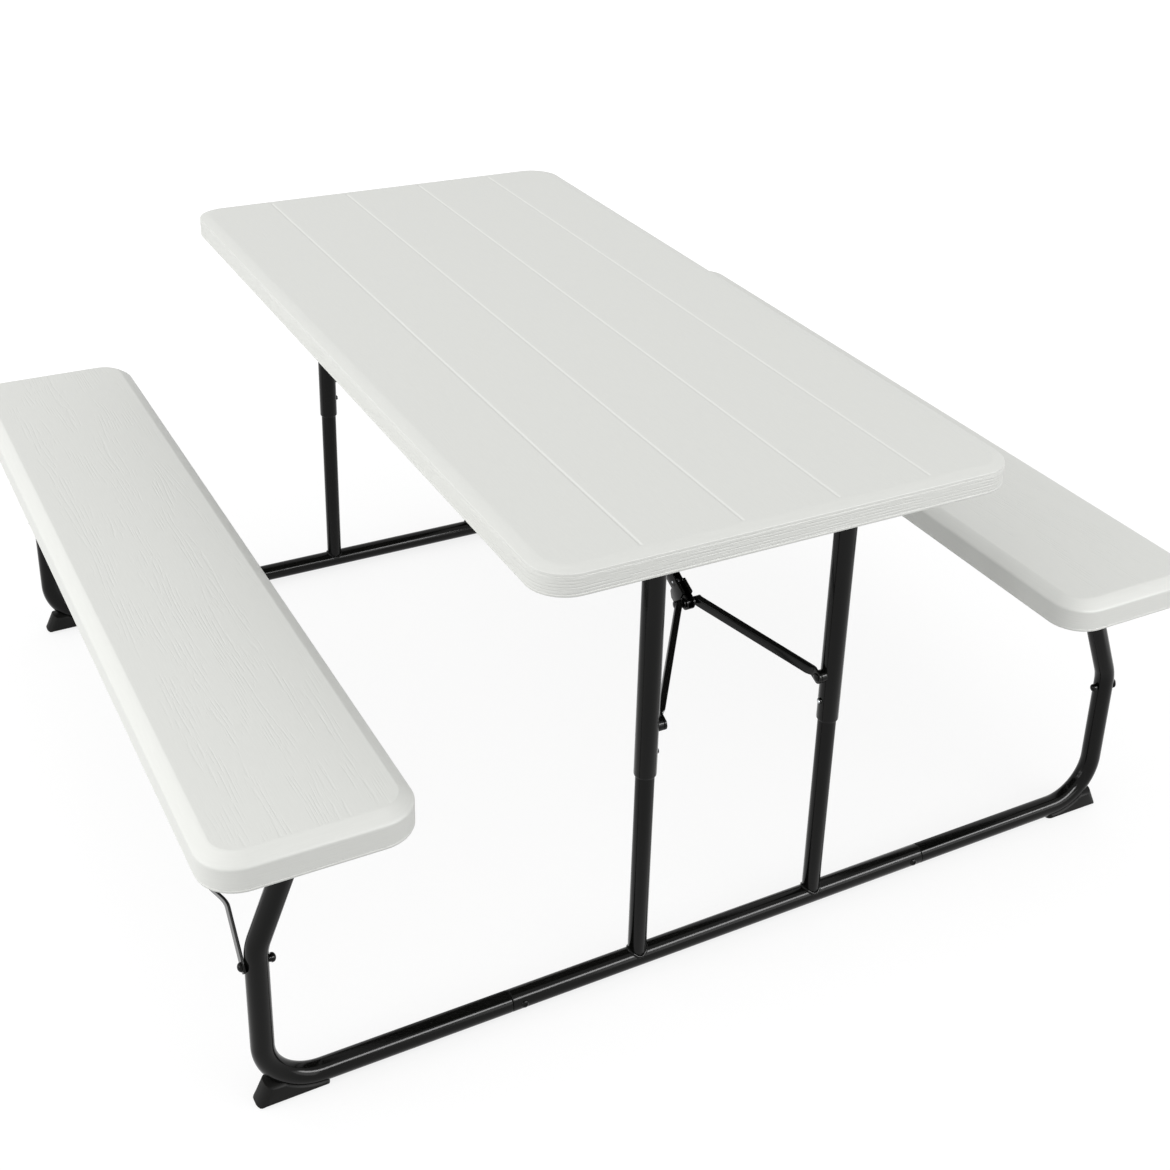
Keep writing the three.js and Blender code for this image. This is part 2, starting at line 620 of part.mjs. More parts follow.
// A wedge of a foot under a floor bend: tall at the heel, thin at the toe, hollowed to seat the tube.
// Its outline is drawn as a slab of unit half width, which then widens from toe to heel.
function makeFoot(side) {
  const heel = benchLegY + railRadius + FOOT_HEEL_OVERHANG;
  const toe = heel - FOOT_LENGTH;
  const centreY = benchLegY - BEND_RADIUS;
  const centreZ = railHeight + BEND_RADIUS;
  const cheek = BEND_RADIUS + FOOT_CHEEK;
  const top = heel - FOOT_HEEL_LEAN;
  const outline = [[toe, 0], [heel - FOOT_HEEL_EASE, 0], [heel, FOOT_HEEL_EASE], [top, FOOT_HEEL_HEIGHT]];
  const meet = Math.acos((centreZ - FOOT_HEEL_HEIGHT) / cheek);
  for (let i = 0; i <= BEND_STEPS; i += 1) {
    const turn = meet * (1 - i / BEND_STEPS);
    outline.push([centreY + cheek * Math.sin(turn), centreZ - cheek * Math.cos(turn)]);
  }
  outline.push([toe, railHeight - FOOT_CHEEK]);
  const halfWidthAt = (y) => {
    const share = (y - toe) / FOOT_LENGTH;
    return (FOOT_TOE_WIDTH + (FOOT_WIDTH - FOOT_TOE_WIDTH) * share) / 2;
  };
  const shape = new THREE.Shape(outline.map(([y, z]) => new THREE.Vector2(y, z)));
  const slab = new THREE.ExtrudeGeometry(shape, { depth: 2, bevelEnabled: false }).translate(0, 0, -1);
  const places = slab.attributes.position;
  for (let i = 0; i < places.count; i += 1) {
    const y = places.getX(i);
    const x = places.getZ(i) * halfWidthAt(y);
    places.setXYZ(i, x, side * y, places.getY(i));
  }
  return cut(solid(slab), sweepRound(onSide(legPath, side), railRadius + GAP));
}

function makeSeatPivot(side) {
  const y = side * seatY;
  const reach = SEAT_EAR_SPACING / 2 + EAR_THICKNESS + SEAT_PIVOT_STANDOUT;
  return rodAlongY(SEAT_PIVOT_DIAMETER / 2, y - reach, y + reach, 0, seatPivotZ);
}

const strutY = benchLegY + railRadius + GAP + STRUT_THICKNESS / 2;
const strutRise = seatPivotZ + STRUT_TOP_RISE - STRUT_BOLT_HEIGHT;
const strutLength = Math.hypot(STRUT_RUN, strutRise);

function makeStrutBolt(side) {
  const r = STRUT_BOLT_DIAMETER / 2;
  const head = BOLT_HEAD_DIAMETER / 2;
  const crown = BOLT_CROWN_DIAMETER / 2;
  const outer = strutY + STRUT_THICKNESS / 2 + GAP;
  const inner = benchLegY - railRadius - GAP;
  const nutEnd = inner - CAP_NUT_LENGTH;
  const profile = [
    [0, nutEnd], [crown, nutEnd], [head, nutEnd + BOLT_HEAD_HEIGHT], [head, inner],
    [r, inner], [r, outer], [head, outer], [head, outer + GAP],
    [crown, outer + BOLT_HEAD_HEIGHT], [0, outer + BOLT_HEAD_HEIGHT],
  ];
  const bolt = turned(profile.map(([radius, y]) => [radius, side * y]));
  return solid(bolt.translate(0, 0, STRUT_BOLT_HEIGHT));
}

// A flat bar drawn along its own X axis from the bolt, jogged outwards below the seat.
function makeStrut(side) {
  const half = STRUT_WIDTH / 2;
  const jogEnd = STRUT_JOG_START + STRUT_JOG_LENGTH;
  const thin = STRUT_THICKNESS / 2;
  const station = (x, out, height) => {
    const y = side * out;
    return [[-thin, -1], [thin, -1], [thin, 1], [-thin, 1]].map(([dy, dz]) => {
      return new THREE.Vector3(x, y + dy, (dz * height) / 2);
    });
  };
  const bar = loft([
    ...barEnd(half).map(([past, height]) => station(-past, 0, height)),
    station(half, 0, STRUT_WIDTH),
    station(STRUT_JOG_START, 0, STRUT_WIDTH),
    station(jogEnd, STRUT_JOG, STRUT_WIDTH),
    station(strutLength, STRUT_JOG, STRUT_WIDTH),
  ]);
  const bore = rodAlongY(STRUT_BOLT_DIAMETER / 2 + TURNING_GAP, -STRUT_THICKNESS, STRUT_THICKNESS);
  return cut(bar, bore);
}

// The strip under a seat, with ears for the bench legs' pivots and tabs that stop the struts.
function makeSeatRail(side) {
  const top = seatUnderside - GAP;
  const bottom = top - SEAT_STRIP_THICKNESS;
  const y = side * seatY;
  const inner = SEAT_EAR_SPACING / 2;
  const outer = inner + EAR_THICKNESS;
  const end = frameX + SEAT_STRIP_OVERRUN;
  const pieces = [block(-end, end, y - outer, y + outer, bottom, top)];
  const earBottom = seatPivotZ - SEAT_PIVOT_DIAMETER / 2 - SEAT_EAR_LIP;
  const tabInner = strutY + STRUT_JOG + STRUT_THICKNESS / 2 + GAP;
  const tabOuter = tabInner + EAR_THICKNESS;
  const tabBottom = seatPivotZ;
  const half = SEAT_EAR_LENGTH / 2;
  const spread = (near, far) => [Math.min(side * near, side * far), Math.max(side * near, side * far)];
  for (const x of [-frameX, frameX]) {
    pieces.push(block(x - half, x + half, y - outer, y - inner, earBottom, top));
    pieces.push(block(x - half, x + half, y + inner, y + outer, earBottom, top));
    const tabX = x - Math.sign(x) * STRUT_RUN;
    const [x0, x1] = [tabX - STRUT_TAB_LENGTH / 2, tabX + STRUT_TAB_LENGTH / 2];
    pieces.push(block(x0, x1, ...spread(seatY, tabOuter), bottom, top));
    pieces.push(block(x0, x1, ...spread(tabInner, tabOuter), tabBottom, top));
  }
  const reach = outer + PAST;
  const bores = [-frameX, frameX].map((x) => {
    return rodAlongY(SEAT_PIVOT_DIAMETER / 2 + TURNING_GAP, y - reach, y + reach, x, seatPivotZ);
  });
  return cut(join(...pieces), ...bores);
}

// A whole end of the table, built at the near end and turned about Z for the far one.
function makeEnd(end) {
  const turnedEnd = new THREE.Group();
  turnedEnd.rotation.z = end.turn;
  const frame = new THREE.Group();
  frame.position.x = frameX;
  turnedEnd.add(frame);
  const sideName = (side) => (end === NEAR) === (side === LEFT) ? "left" : "right";

  const barReach = tableRailY;
  const topBar = tubeAlongY(topBarRadius, topBarRadius - TUBE_WALL, -barReach, barReach);
  addPiece(frame, `${end.name}_top_bar`, topBar.translate([0, 0, hingeZ]), BLACK_STEEL);
  const rail = tubeAlongY(railRadius, railRadius - TUBE_WALL, -railJointY, railJointY);
  addPiece(frame, `${end.name}_centre_rail`, rail.translate([0, 0, railHeight]), BLACK_STEEL);

  const braceGroup = new THREE.Group();
  braceGroup.position.set(LINK_PIN_OFFSET, 0, hingeZ);
  braceGroup.rotation.y = brace.slope;
  turnedEnd.add(braceGroup);
  addPiece(braceGroup, `${end.name}_link`, makeLink(), BLACK_STEEL);
  addPiece(braceGroup, `${end.name}_link_pin`, makeLinkPin(), ZINC);
  addPiece(braceGroup, `${end.name}_knuckle_pin`, makeKnucklePin(), BLACK_STEEL);
  addPiece(braceGroup, `${end.name}_lock_slider`, makeLockSlider(), BLACK_STEEL);

  for (const side of [LEFT, RIGHT]) {
    const name = (piece) => `${end.name}_${sideName(side)}_${piece}`;
    addPiece(frame, name("upper_leg"), makeUpperLeg(side), BLACK_STEEL);
    addPiece(frame, name("lower_leg"), makeLowerLeg(side), BLACK_STEEL);
    addPiece(frame, name("snap_button"), makeButton(side), ZINC);
    addPiece(frame, name("bench_leg"), makeBenchLeg(side), BLACK_STEEL);
    addPiece(frame, name("foot"), makeFoot(side), BLACK_PLASTIC);
    addPiece(frame, name("seat_pivot"), makeSeatPivot(side), BLACK_STEEL);
    addPiece(frame, name("strut_bolt"), makeStrutBolt(side), BLACK_STEEL);
    addPiece(braceGroup, name("brace_arm"), makeArm(side), BLACK_STEEL);

    const strutGroup = new THREE.Group();
    strutGroup.position.set(0, side * strutY, STRUT_BOLT_HEIGHT);
    strutGroup.rotation.y = Math.atan2(-strutRise, -STRUT_RUN);
    frame.add(strutGroup);
    addPiece(strutGroup, name("strut"), makeStrut(side), BLACK_STEEL);
  }
  return turnedEnd;
}

function makeBench(side) {
  const bench = new THREE.Group();
  const name = side === LEFT ? "left" : "right";
  const seat = panel(SEAT_LENGTH, SEAT_WIDTH, SEAT_HEIGHT, SEAT_THICKNESS, SEAT_EDGE_DROP);
  addPiece(bench, `${name}_seat`, seat.translate([0, side * seatY, 0]), WHITE_PLASTIC);
  addPiece(bench, `${name}_seat_rail`, makeSeatRail(side), BLACK_STEEL);
  return bench;
}

const table = new THREE.Group();
addPiece(table, "tabletop", makeTabletop(), WHITE_PLASTIC);
addPiece(table, "left_table_rail", makeTableRail(LEFT), BLACK_STEEL);
addPiece(table, "right_table_rail", makeTableRail(RIGHT), BLACK_STEEL);
addPiece(table, "centre_crossbar", makeCrossbar(), BLACK_STEEL);
for (const end of [NEAR, FAR]) {
  table.add(makeEnd(end));
}
for (const side of [LEFT, RIGHT]) {
  table.add(makeBench(side));
}

export default table;
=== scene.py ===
"""A folding table with an attached bench on each side, dressed for the camera.

White blow-moulded panels with an embossed wood grain stand on a satin black tube frame.
Lengths are in metres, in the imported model's own frame: X along the table, Y across it and Z up.
"""

import math

import bmesh
import bpy
from mathutils import Matrix, Vector


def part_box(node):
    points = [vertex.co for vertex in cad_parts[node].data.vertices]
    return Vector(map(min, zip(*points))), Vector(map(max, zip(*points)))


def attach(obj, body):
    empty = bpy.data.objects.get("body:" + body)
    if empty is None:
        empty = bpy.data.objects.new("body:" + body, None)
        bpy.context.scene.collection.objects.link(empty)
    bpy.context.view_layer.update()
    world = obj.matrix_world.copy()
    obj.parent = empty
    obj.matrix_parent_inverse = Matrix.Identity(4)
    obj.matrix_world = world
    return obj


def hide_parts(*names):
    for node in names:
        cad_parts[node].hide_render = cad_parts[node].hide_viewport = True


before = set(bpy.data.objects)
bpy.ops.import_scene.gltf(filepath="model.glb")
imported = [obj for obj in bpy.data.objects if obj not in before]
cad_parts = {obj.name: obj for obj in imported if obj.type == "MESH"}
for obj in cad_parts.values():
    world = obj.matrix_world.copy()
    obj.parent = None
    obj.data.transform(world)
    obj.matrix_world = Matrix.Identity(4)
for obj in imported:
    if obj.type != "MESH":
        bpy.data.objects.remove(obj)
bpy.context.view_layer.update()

MM = 0.001
ENDS = {"near": 1, "far": -1}
SIDES = {"left": -1, "right": 1}

# Camera, matched to a square picture
PICTURE_PIXELS = 1170
FOCAL_PIXELS = 1728.4
LENS_AXIS_PIXELS = (640, 400)
SENSOR = 36
CAMERA_PLACE = Vector((2.1481, -1.0666, 1.6698))
CAMERA_AZIMUTH = 60.08
CAMERA_ELEVATION = 24.61
CAMERA_ROLL = 2.354

# Moulded panels
PANEL_CORNER = 50 * MM
PANEL_EDGE_INSET = 18 * MM
PANEL_FOOT_EASE = 2.5 * MM
WALL_LINE_DEPTH = 0.5 * MM
WALL_LINE_HALF_HEIGHT = 0.7 * MM
FLAT_GUARD = 0.6 * MM
ROUND_STEPS = 6
TABLE_SECTION = {"drop": 4 * MM, "softness": 1.2 * MM, "power": 1.4, "lines": (4.5 * MM, 27 * MM)}
SEAT_SECTION = {"drop": 12 * MM, "softness": 2.4 * MM, "power": 1.3, "lines": (4.5 * MM,)}
CORNER_STEPS = 14
EDGE_STEPS = 9
FIELD_GAP = 1.4 * MM
PLANK_COUNT = 5
PLANK_WIDTH = 137 * MM
WALL_WAVE = 0.12
WALL_GRAIN_CLOSENESS = 1.5
GROOVE_STEEP = 0.9 * MM
GROOVE_SLOPE = 5.2 * MM
GROOVE_DEPTH = 1.4 * MM
GROOVE_STEPS = 4
# Share of a groove's sloped flank, from and to, whose colour is painted paler as a highlight of the light it
# catches
GROOVE_PAINTED_HIGHLIGHT_SPAN = (0.4, 0.9)
GROOVE_END_GAP = 20.4 * MM
GROOVE_RUNOUT = 3 * MM
UNDERSIDE_STEP = 5 * MM
DIMPLE_SPACING = (96 * MM, 64 * MM)
DIMPLE_RADII = (26 * MM, 11 * MM)
DIMPLE_DEPTH = 9 * MM

# Tubes
TUBE_SIDES = 40
BEND_RADIUS = 72 * MM
BEND_STEPS = 20
BENCH_LEG_CORNER_HEIGHT = 238 * MM
BENCH_LEG_OVERRUN = 12 * MM
TUBE_END_EASE = 1.2 * MM
SLEEVE_END_EASE = 3 * MM
END_STEPS = 4
WELD_RADIUS = 2.2 * MM
WELD_POINTS = 36

# Braces
ARM_PLATE_THICKNESS = 3.5 * MM
ARM_PLATE_HEIGHT = 18 * MM
ARM_ROD_WIDTH = 11 * MM
ARM_ROD_HEIGHT = 15 * MM
ARM_EYE_LENGTH = 14 * MM
ARM_BEND = 3.5 * MM
ARM_LUG_REACH = 5 * MM
ARM_SIDES = 32
ARM_SQUARENESS = 0.28
BOSS_RADIUS = 9 * MM
STUD_RADIUS = 4 * MM
PIN_HEAD_RADIUS = 6 * MM
PIN_HEAD_THICKNESS = 2 * MM
LINK_DEPTH = 20 * MM
LINK_WALL = 2 * MM
LINK_RIVET_RADIUS = 3 * MM
LINK_RIVET_INSET = 36 * MM
LOCK_LENGTH = 24 * MM
LOCK_CORNER = 7 * MM
LOCK_KEEL = 9 * MM
LOCK_WALL = 2 * MM
LOCK_GAP = 0.3 * MM
LOCK_SLOT_WIDTH = 7 * MM
COLLAR_RADIUS = 7 * MM
COLLAR_LENGTH = 2.4 * MM
COLLAR_EASE = 0.6 * MM
KNUCKLE_PIN_RADIUS = 3.7 * MM

# Struts, bolts and feet
STRUT_WIDTH = 18 * MM
STRUT_THICKNESS = 3.5 * MM
STRUT_JOG = 16 * MM
STRUT_JOG_START = 70 * MM
STRUT_JOG_LENGTH = 36 * MM
BOLT_RADIUS = 4 * MM
BOLT_HEAD_RADIUS = 6 * MM
BOLT_HEAD_HEIGHT = 4.5 * MM
CAP_NUT_LENGTH = 8.5 * MM
CAP_NUT_SKIRT = 6.2 * MM
CAP_NUT_NECK_RADIUS = 4.8 * MM
FOOT_HEEL_HEIGHT = 31 * MM
FOOT_HEEL_LEAN = 14 * MM
FOOT_HEEL_EASE = 11 * MM
FOOT_CHEEK = 5 * MM
FOOT_TOE_WIDTH = 30 * MM
FOOT_STEPS = 14
FOOT_HEEL_ROUNDING = 13 * MM
FOOT_TOE_ROUNDING = 8 * MM
FOOT_EDGE_EASE = 6 * MM

# Snap buttons
BUTTON_FLANGE = 2 * MM
BUTTON_RADIUS = 4.2 * MM
BUTTON_TIP_RADIUS = 2.9 * MM
BUTTON_TIP_HEIGHT = 1.2 * MM

# Studio
ROOM_LIGHT = 0.875
FLOOR_SIZE = 16
FLOOR_GLOW = 0.8
FLOOR_SHADE = 0.24
SHADOW_REACH = (1.1, 2.2)

# Screws
SCREW_HEAD_RADIUS = 5 * MM
SCREW_HEAD_HEIGHT = 2.4 * MM


def middle(node):
    low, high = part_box(node)
    return (low + high) / 2


def size(node):
    low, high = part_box(node)
    return high - low


# Materials


def linear(hex_colour):
    """An sRGB hex value as the linear colour that a shader takes."""
    channels = [int(hex_colour[i:i + 2], 16) / 255 for i in (1, 3, 5)]
    return tuple(
        c / 12.92 if c <= 0.04045 else ((c + 0.055) / 1.055) ** 2.4 for c in channels
    ) + (1.0,)


def add_node(tree, kind, links=None, inputs=None, **settings):
    """Adds a node with its settings, its input values and its links from other nodes' outputs."""
    node = tree.nodes.new(kind)
    for name, value in settings.items():
        setattr(node, name, value)
    for socket, value in (inputs or {}).items():
        node.inputs[socket].default_value = value
    for socket, source in (links or {}).items():
        tree.links.new(source, node.inputs[socket])
    return node


def new_material(name):
    material = bpy.data.materials.new(name)
    material.use_nodes = True
    tree = material.node_tree
    return material, tree, tree.nodes["Principled BSDF"]


def moulded_polyethylene():
    """High-density polyethylene, blow moulded against a wood-grained tool.

    It is a warm white with a dull sheen. Long wavy grain lines and fine fibres are pressed into it.
    """
    ring_spacing = 6 * MM
    figure_length = 430 * MM
    figure_width = 60 * MM
    pore_length = 26 * MM
    pore_width = 1.8 * MM
    patch_length = 120 * MM
    patch_width = 30 * MM
    break_length = 34 * MM
    break_width = 5 * MM
    material, tree, surface = new_material("moulded_polyethylene")
    place = add_node(tree, "ShaderNodeAttribute", attribute_name="grain_place")
    depth = add_node(tree, "ShaderNodeAttribute", attribute_name="grain_depth")
    wave = add_node(tree, "ShaderNodeAttribute", attribute_name="grain_wave")
    flank_highlight = add_node(tree, "ShaderNodeAttribute", attribute_name="groove_painted_highlight")
    noises = []
    for length, width, detail in (
        (figure_length, figure_width, 2.0), (pore_length, pore_width, 2.0),
        (patch_length, patch_width, 1.0), (break_length, break_width, 1.0),
    ):
        stretched = add_node(
            tree, "ShaderNodeVectorMath", {0: place.outputs["Vector"]}, operation="MULTIPLY",
            inputs={1: (1 / length, 1 / width, 1)},
        )
        noises.append(add_node(
            tree, "ShaderNodeTexNoise", {"Vector": stretched.outputs["Vector"]},
            inputs={"Scale": 1.0, "Detail": detail, "Roughness": 0.5},
        ).outputs["Fac"])
    figure, pore, patch, gaps = noises
    across = add_node(tree, "ShaderNodeSeparateXYZ", {"Vector": place.outputs["Vector"]})
    rings = add_node(
        tree, "ShaderNodeMath", {0: across.outputs["Y"]}, operation="DIVIDE", inputs={1: ring_spacing}
    )
    bend = add_node(
        tree, "ShaderNodeMath", {0: figure, 1: wave.outputs["Fac"]}, operation="MULTIPLY"
    )
    bent_rings = add_node(
        tree, "ShaderNodeMath", {0: bend.outputs["Value"], 2: rings.outputs["Value"]},
        operation="MULTIPLY_ADD", inputs={1: 9.0},
    )
    stroke = add_node(
        tree, "ShaderNodeMath", {0: bent_rings.outputs["Value"]}, operation="PINGPONG", inputs={1: 0.5}
    )
    line = add_node(
        tree, "ShaderNodeMapRange", {"Value": stroke.outputs["Value"]}, interpolation_type="SMOOTHSTEP",
        inputs={"From Min": 0.0, "From Max": 0.26, "To Min": 1.0, "To Max": 0.0},
    )
    clusters = add_node(
        tree, "ShaderNodeMapRange", {"Value": patch}, interpolation_type="SMOOTHSTEP",
        inputs={"From Min": 0.46, "From Max": 0.56, "To Min": 0.06, "To Max": 1.0},
    )
    lasting = add_node(
        tree, "ShaderNodeMapRange", {"Value": gaps}, interpolation_type="SMOOTHSTEP",
        inputs={"From Min": 0.4, "From Max": 0.52, "To Min": 0.05, "To Max": 1.0},
    )
    plain = add_node(
        tree, "ShaderNodeMath", {1: wave.outputs["Fac"]}, operation="SUBTRACT", inputs={0: 1.0}
    )
    cover = add_node(
        tree, "ShaderNodeMath", {0: clusters.outputs["Result"], 1: plain.outputs["Value"]},
        operation="MAXIMUM",
    )
    broken = add_node(
        tree, "ShaderNodeMath", {0: line.outputs["Result"], 1: lasting.outputs["Result"]},
        operation="MULTIPLY",
    )
    dashes = add_node(
        tree, "ShaderNodeMapRange", {"Value": pore}, interpolation_type="SMOOTHSTEP",
        inputs={"From Min": 0.54, "From Max": 0.7, "To Min": 0.0, "To Max": 0.5},
    )
    marks = add_node(
        tree, "ShaderNodeMath", {0: broken.outputs["Value"], 1: dashes.outputs["Result"]}, operation="ADD"
    )
    relief = add_node(
        tree, "ShaderNodeMath", {0: marks.outputs["Value"], 1: cover.outputs["Value"]},
        operation="MULTIPLY",
    )
    shown = add_node(
        tree, "ShaderNodeMath", {0: relief.outputs["Value"], 1: depth.outputs["Fac"]}, operation="MULTIPLY"
    )
    bump = add_node(
        tree, "ShaderNodeBump", {"Height": shown.outputs["Value"]}, invert=True,
        inputs={"Strength": 0.35, "Distance": 0.5 * MM},
    )
    tone = add_node(
        tree, "ShaderNodeMix", {"Factor": pore}, data_type="RGBA",
        inputs={"A": linear("#DCDDD9"), "B": linear("#E1E2DE")},
    )
    # Painted highlight: the lit flank of each plank groove is painted a paler white (#ECEDE9) in place of the
    # light it catches
    painted_lit_flank = add_node(
        tree, "ShaderNodeMix", {"Factor": flank_highlight.outputs["Fac"], "A": tone.outputs["Result"]}, data_type="RGBA",
        inputs={"B": linear("#ECEDE9")},
    )
    tree.links.new(painted_lit_flank.outputs["Result"], surface.inputs["Base Color"])
    tree.links.new(bump.outputs["Normal"], surface.inputs["Normal"])
    surface.inputs["Roughness"].default_value = 0.5
    surface.inputs["IOR"].default_value = 1.54
    surface.inputs["Specular IOR Level"].default_value = 0.3
    return material


def powder_coated_steel():
    """Mild steel tube under a baked powder coat: satin black, with the faint ripple of melted powder."""
    ripple_spacing = 2.2 * MM
    material, tree, surface = new_material("powder_coated_steel")
    place = add_node(tree, "ShaderNodeTexCoord")
    ripple = add_node(
        tree, "ShaderNodeTexNoise", {"Vector": place.outputs["Object"]},
        inputs={"Scale": 1 / ripple_spacing, "Detail": 1.0},
    )
    bump = add_node(
        tree, "ShaderNodeBump", {"Height": ripple.outputs["Fac"]},
        inputs={"Strength": 0.05, "Distance": 0.3 * MM},
    )
    cloud = add_node(
        tree, "ShaderNodeTexNoise", {"Vector": place.outputs["Object"]}, inputs={"Scale": 14.0, "Detail": 3.0}
    )
    tone = add_node(
        tree, "ShaderNodeMix", {"Factor": cloud.outputs["Fac"]}, data_type="RGBA",
        inputs={"A": linear("#070706"), "B": linear("#0D0D0C")},
    )
    gloss = add_node(
        tree, "ShaderNodeMapRange", {"Value": cloud.outputs["Fac"]}, inputs={"To Min": 0.12, "To Max": 0.18}
    )
    tree.links.new(tone.outputs["Result"], surface.inputs["Base Color"])
    tree.links.new(gloss.outputs["Result"], surface.inputs["Roughness"])
    tree.links.new(bump.outputs["Normal"], surface.inputs["Normal"])
    surface.inputs["Specular IOR Level"].default_value = 0.15
    return material


def moulded_polypropylene():
    """Polypropylene with a spark-eroded tool texture: charcoal, dull, with a fine grit."""
    grit = 0.9 * MM
    material, tree, surface = new_material("moulded_polypropylene")
    place = add_node(tree, "ShaderNodeTexCoord")
    spark = add_node(
        tree, "ShaderNodeTexNoise", {"Vector": place.outputs["Object"]},
        inputs={"Scale": 1 / grit, "Detail": 2.0},
    )
    bump = add_node(
        tree, "ShaderNodeBump", {"Height": spark.outputs["Fac"]},
        inputs={"Strength": 0.25, "Distance": 0.3 * MM},
    )
    tone = add_node(
        tree, "ShaderNodeMix", {"Factor": spark.outputs["Fac"]}, data_type="RGBA",
        inputs={"A": linear("#0F0F0E"), "B": linear("#191918")},
    )
    tree.links.new(tone.outputs["Result"], surface.inputs["Base Color"])
    tree.links.new(bump.outputs["Normal"], surface.inputs["Normal"])
    surface.inputs["Roughness"].default_value = 0.5
    surface.inputs["Specular IOR Level"].default_value = 0.12
    return material


def zinc_plated_steel():
    """Turned steel with bright zinc plate: pale grey metal with fine turning marks."""
    turning_marks = 0.8 * MM
    material, tree, surface = new_material("zinc_plated_steel")
    place = add_node(tree, "ShaderNodeTexCoord")
    marks = add_node(
        tree, "ShaderNodeTexNoise", {"Vector": place.outputs["Object"]},
        inputs={"Scale": 1 / turning_marks, "Detail": 2.0},
    )
    gloss = add_node(
        tree, "ShaderNodeMapRange", {"Value": marks.outputs["Fac"]}, inputs={"To Min": 0.22, "To Max": 0.42}
    )
    tone = add_node(
        tree, "ShaderNodeMix", {"Factor": marks.outputs["Fac"]}, data_type="RGBA",
        inputs={"A": linear("#AEB2B5"), "B": linear("#D2D5D7")},
    )
    tree.links.new(tone.outputs["Result"], surface.inputs["Base Color"])
    tree.links.new(gloss.outputs["Result"], surface.inputs["Roughness"])
    surface.inputs["Metallic"].default_value = 1.0
    return material


PLASTIC = moulded_polyethylene()
STEEL = powder_coated_steel()
RUBBER = moulded_polypropylene()
ZINC = zinc_plated_steel()


# Mesh making


def add_piece(name, mesh, material, body, nodes=(), sharp_angle=35):
    """Puts a finished mesh in the scene, on its body and in place of the nodes that it stands for."""
    mesh.materials.clear()
    mesh.materials.append(material)
    mesh.shade_smooth()
    mesh.set_sharp_from_angle(angle=math.radians(sharp_angle))
    obj = bpy.data.objects.new(name, mesh)
    bpy.context.scene.collection.objects.link(obj)
    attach(obj, body)
    if nodes:
        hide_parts(*nodes)
    return obj


def mesh_of(bm, name):
    bmesh.ops.remove_doubles(bm, verts=bm.verts, dist=1e-6)
    bmesh.ops.recalc_face_normals(bm, faces=bm.faces)
    mesh = bpy.data.meshes.new(name)
    bm.to_mesh(mesh)
    bm.free()
    return mesh


def ease_edges(bm, width, steps=2, angle=30):
    """Rounds every edge that turns by more than an angle."""
    limit = math.radians(angle)
    edges = [e for e in bm.edges if len(e.link_faces) == 2 and e.calc_face_angle(0) > limit]
    bmesh.ops.bevel(
        bm, geom=edges, offset=width, segments=steps, profile=0.5, affect="EDGES", clamp_overlap=True
    )


def loft(bm, rings):
    """Closed skin through rings of equally many points."""
    rows = [[bm.verts.new(point) for point in ring] for ring in rings]
    count = len(rows[0])
    for low, high in zip(rows, rows[1:]):
        for i in range(count):
            j = (i + 1) % count
            bm.faces.new((low[i], low[j], high[j], high[i]))
    bm.faces.new(list(reversed(rows[0])))
    bm.faces.new(rows[-1])
    return bm


def turned(bm, profile, centre, axis, sides=32):
    """Round solid about an axis, from (distance along the axis, radius) pairs."""
    along = Vector(axis).normalized()
    first = along.orthogonal().normalized()
    second = along.cross(first)
    rings = []
    for distance, radius in profile:
        ring = []
        for i in range(sides):
            turn = 2 * math.pi * i / sides
            out = first * math.cos(turn) + second * math.sin(turn)
            ring.append(Vector(centre) + along * distance + out * radius)
        rings.append(ring)
    return loft(bm, rings)


def dome(start, height, radius, steps=5):
    """Profile of a rounded head that rises from a station along its axis."""
    turns = [math.pi / 2 * i / steps for i in range(steps)]
    return [(start + height * math.sin(t), radius * math.cos(t)) for t in turns] + [
        (start + height, radius * 0.05)
    ]


def plate(bm, outline, y0, y1):
    """Flat plate with an outline in X and Z, from one Y to another."""
    return loft(bm, [[Vector((x, y, z)) for x, z in outline] for y in (y0, y1)])


def arc(centre, radius, start, end, steps=8):
    """Points on a round stretch of an outline, from one angle to another in degrees."""
    turns = [math.radians(start + (end - start) * i / steps) for i in range(steps + 1)]
    return [(centre[0] + radius * math.cos(t), centre[1] + radius * math.sin(t)) for t in turns]


def box(bm, low, high):
    corners = [(low.x, low.y), (high.x, low.y), (high.x, high.y), (low.x, high.y)]
    return loft(bm, [[Vector((x, y, z)) for x, y in corners] for z in (low.z, high.z)])


# Geometry Nodes


def new_tree(name, sizes):
    """A tree with a mesh input, named sizes and a material, and what its nodes start and end with."""
    tree = bpy.data.node_groups.new(name, "GeometryNodeTree")
    tree.interface.new_socket("Geometry", in_out="INPUT", socket_type="NodeSocketGeometry")
    for label, kind in sizes.items():
        tree.interface.new_socket(label, in_out="INPUT", socket_type=kind)
    tree.interface.new_socket("Material", in_out="INPUT", socket_type="NodeSocketMaterial")
    tree.interface.new_socket("Geometry", in_out="OUTPUT", socket_type="NodeSocketGeometry")
    return tree, add_node(tree, "NodeGroupInput")


def close_tree(tree, start, made):
    realized = add_node(tree, "GeometryNodeRealizeInstances", {"Geometry": made})
    coated = add_node(
        tree, "GeometryNodeSetMaterial",
        {"Geometry": realized.outputs["Geometry"], "Material": start.outputs["Material"]},
    )
    add_node(tree, "NodeGroupOutput", {"Geometry": coated.outputs["Geometry"]})
    return tree


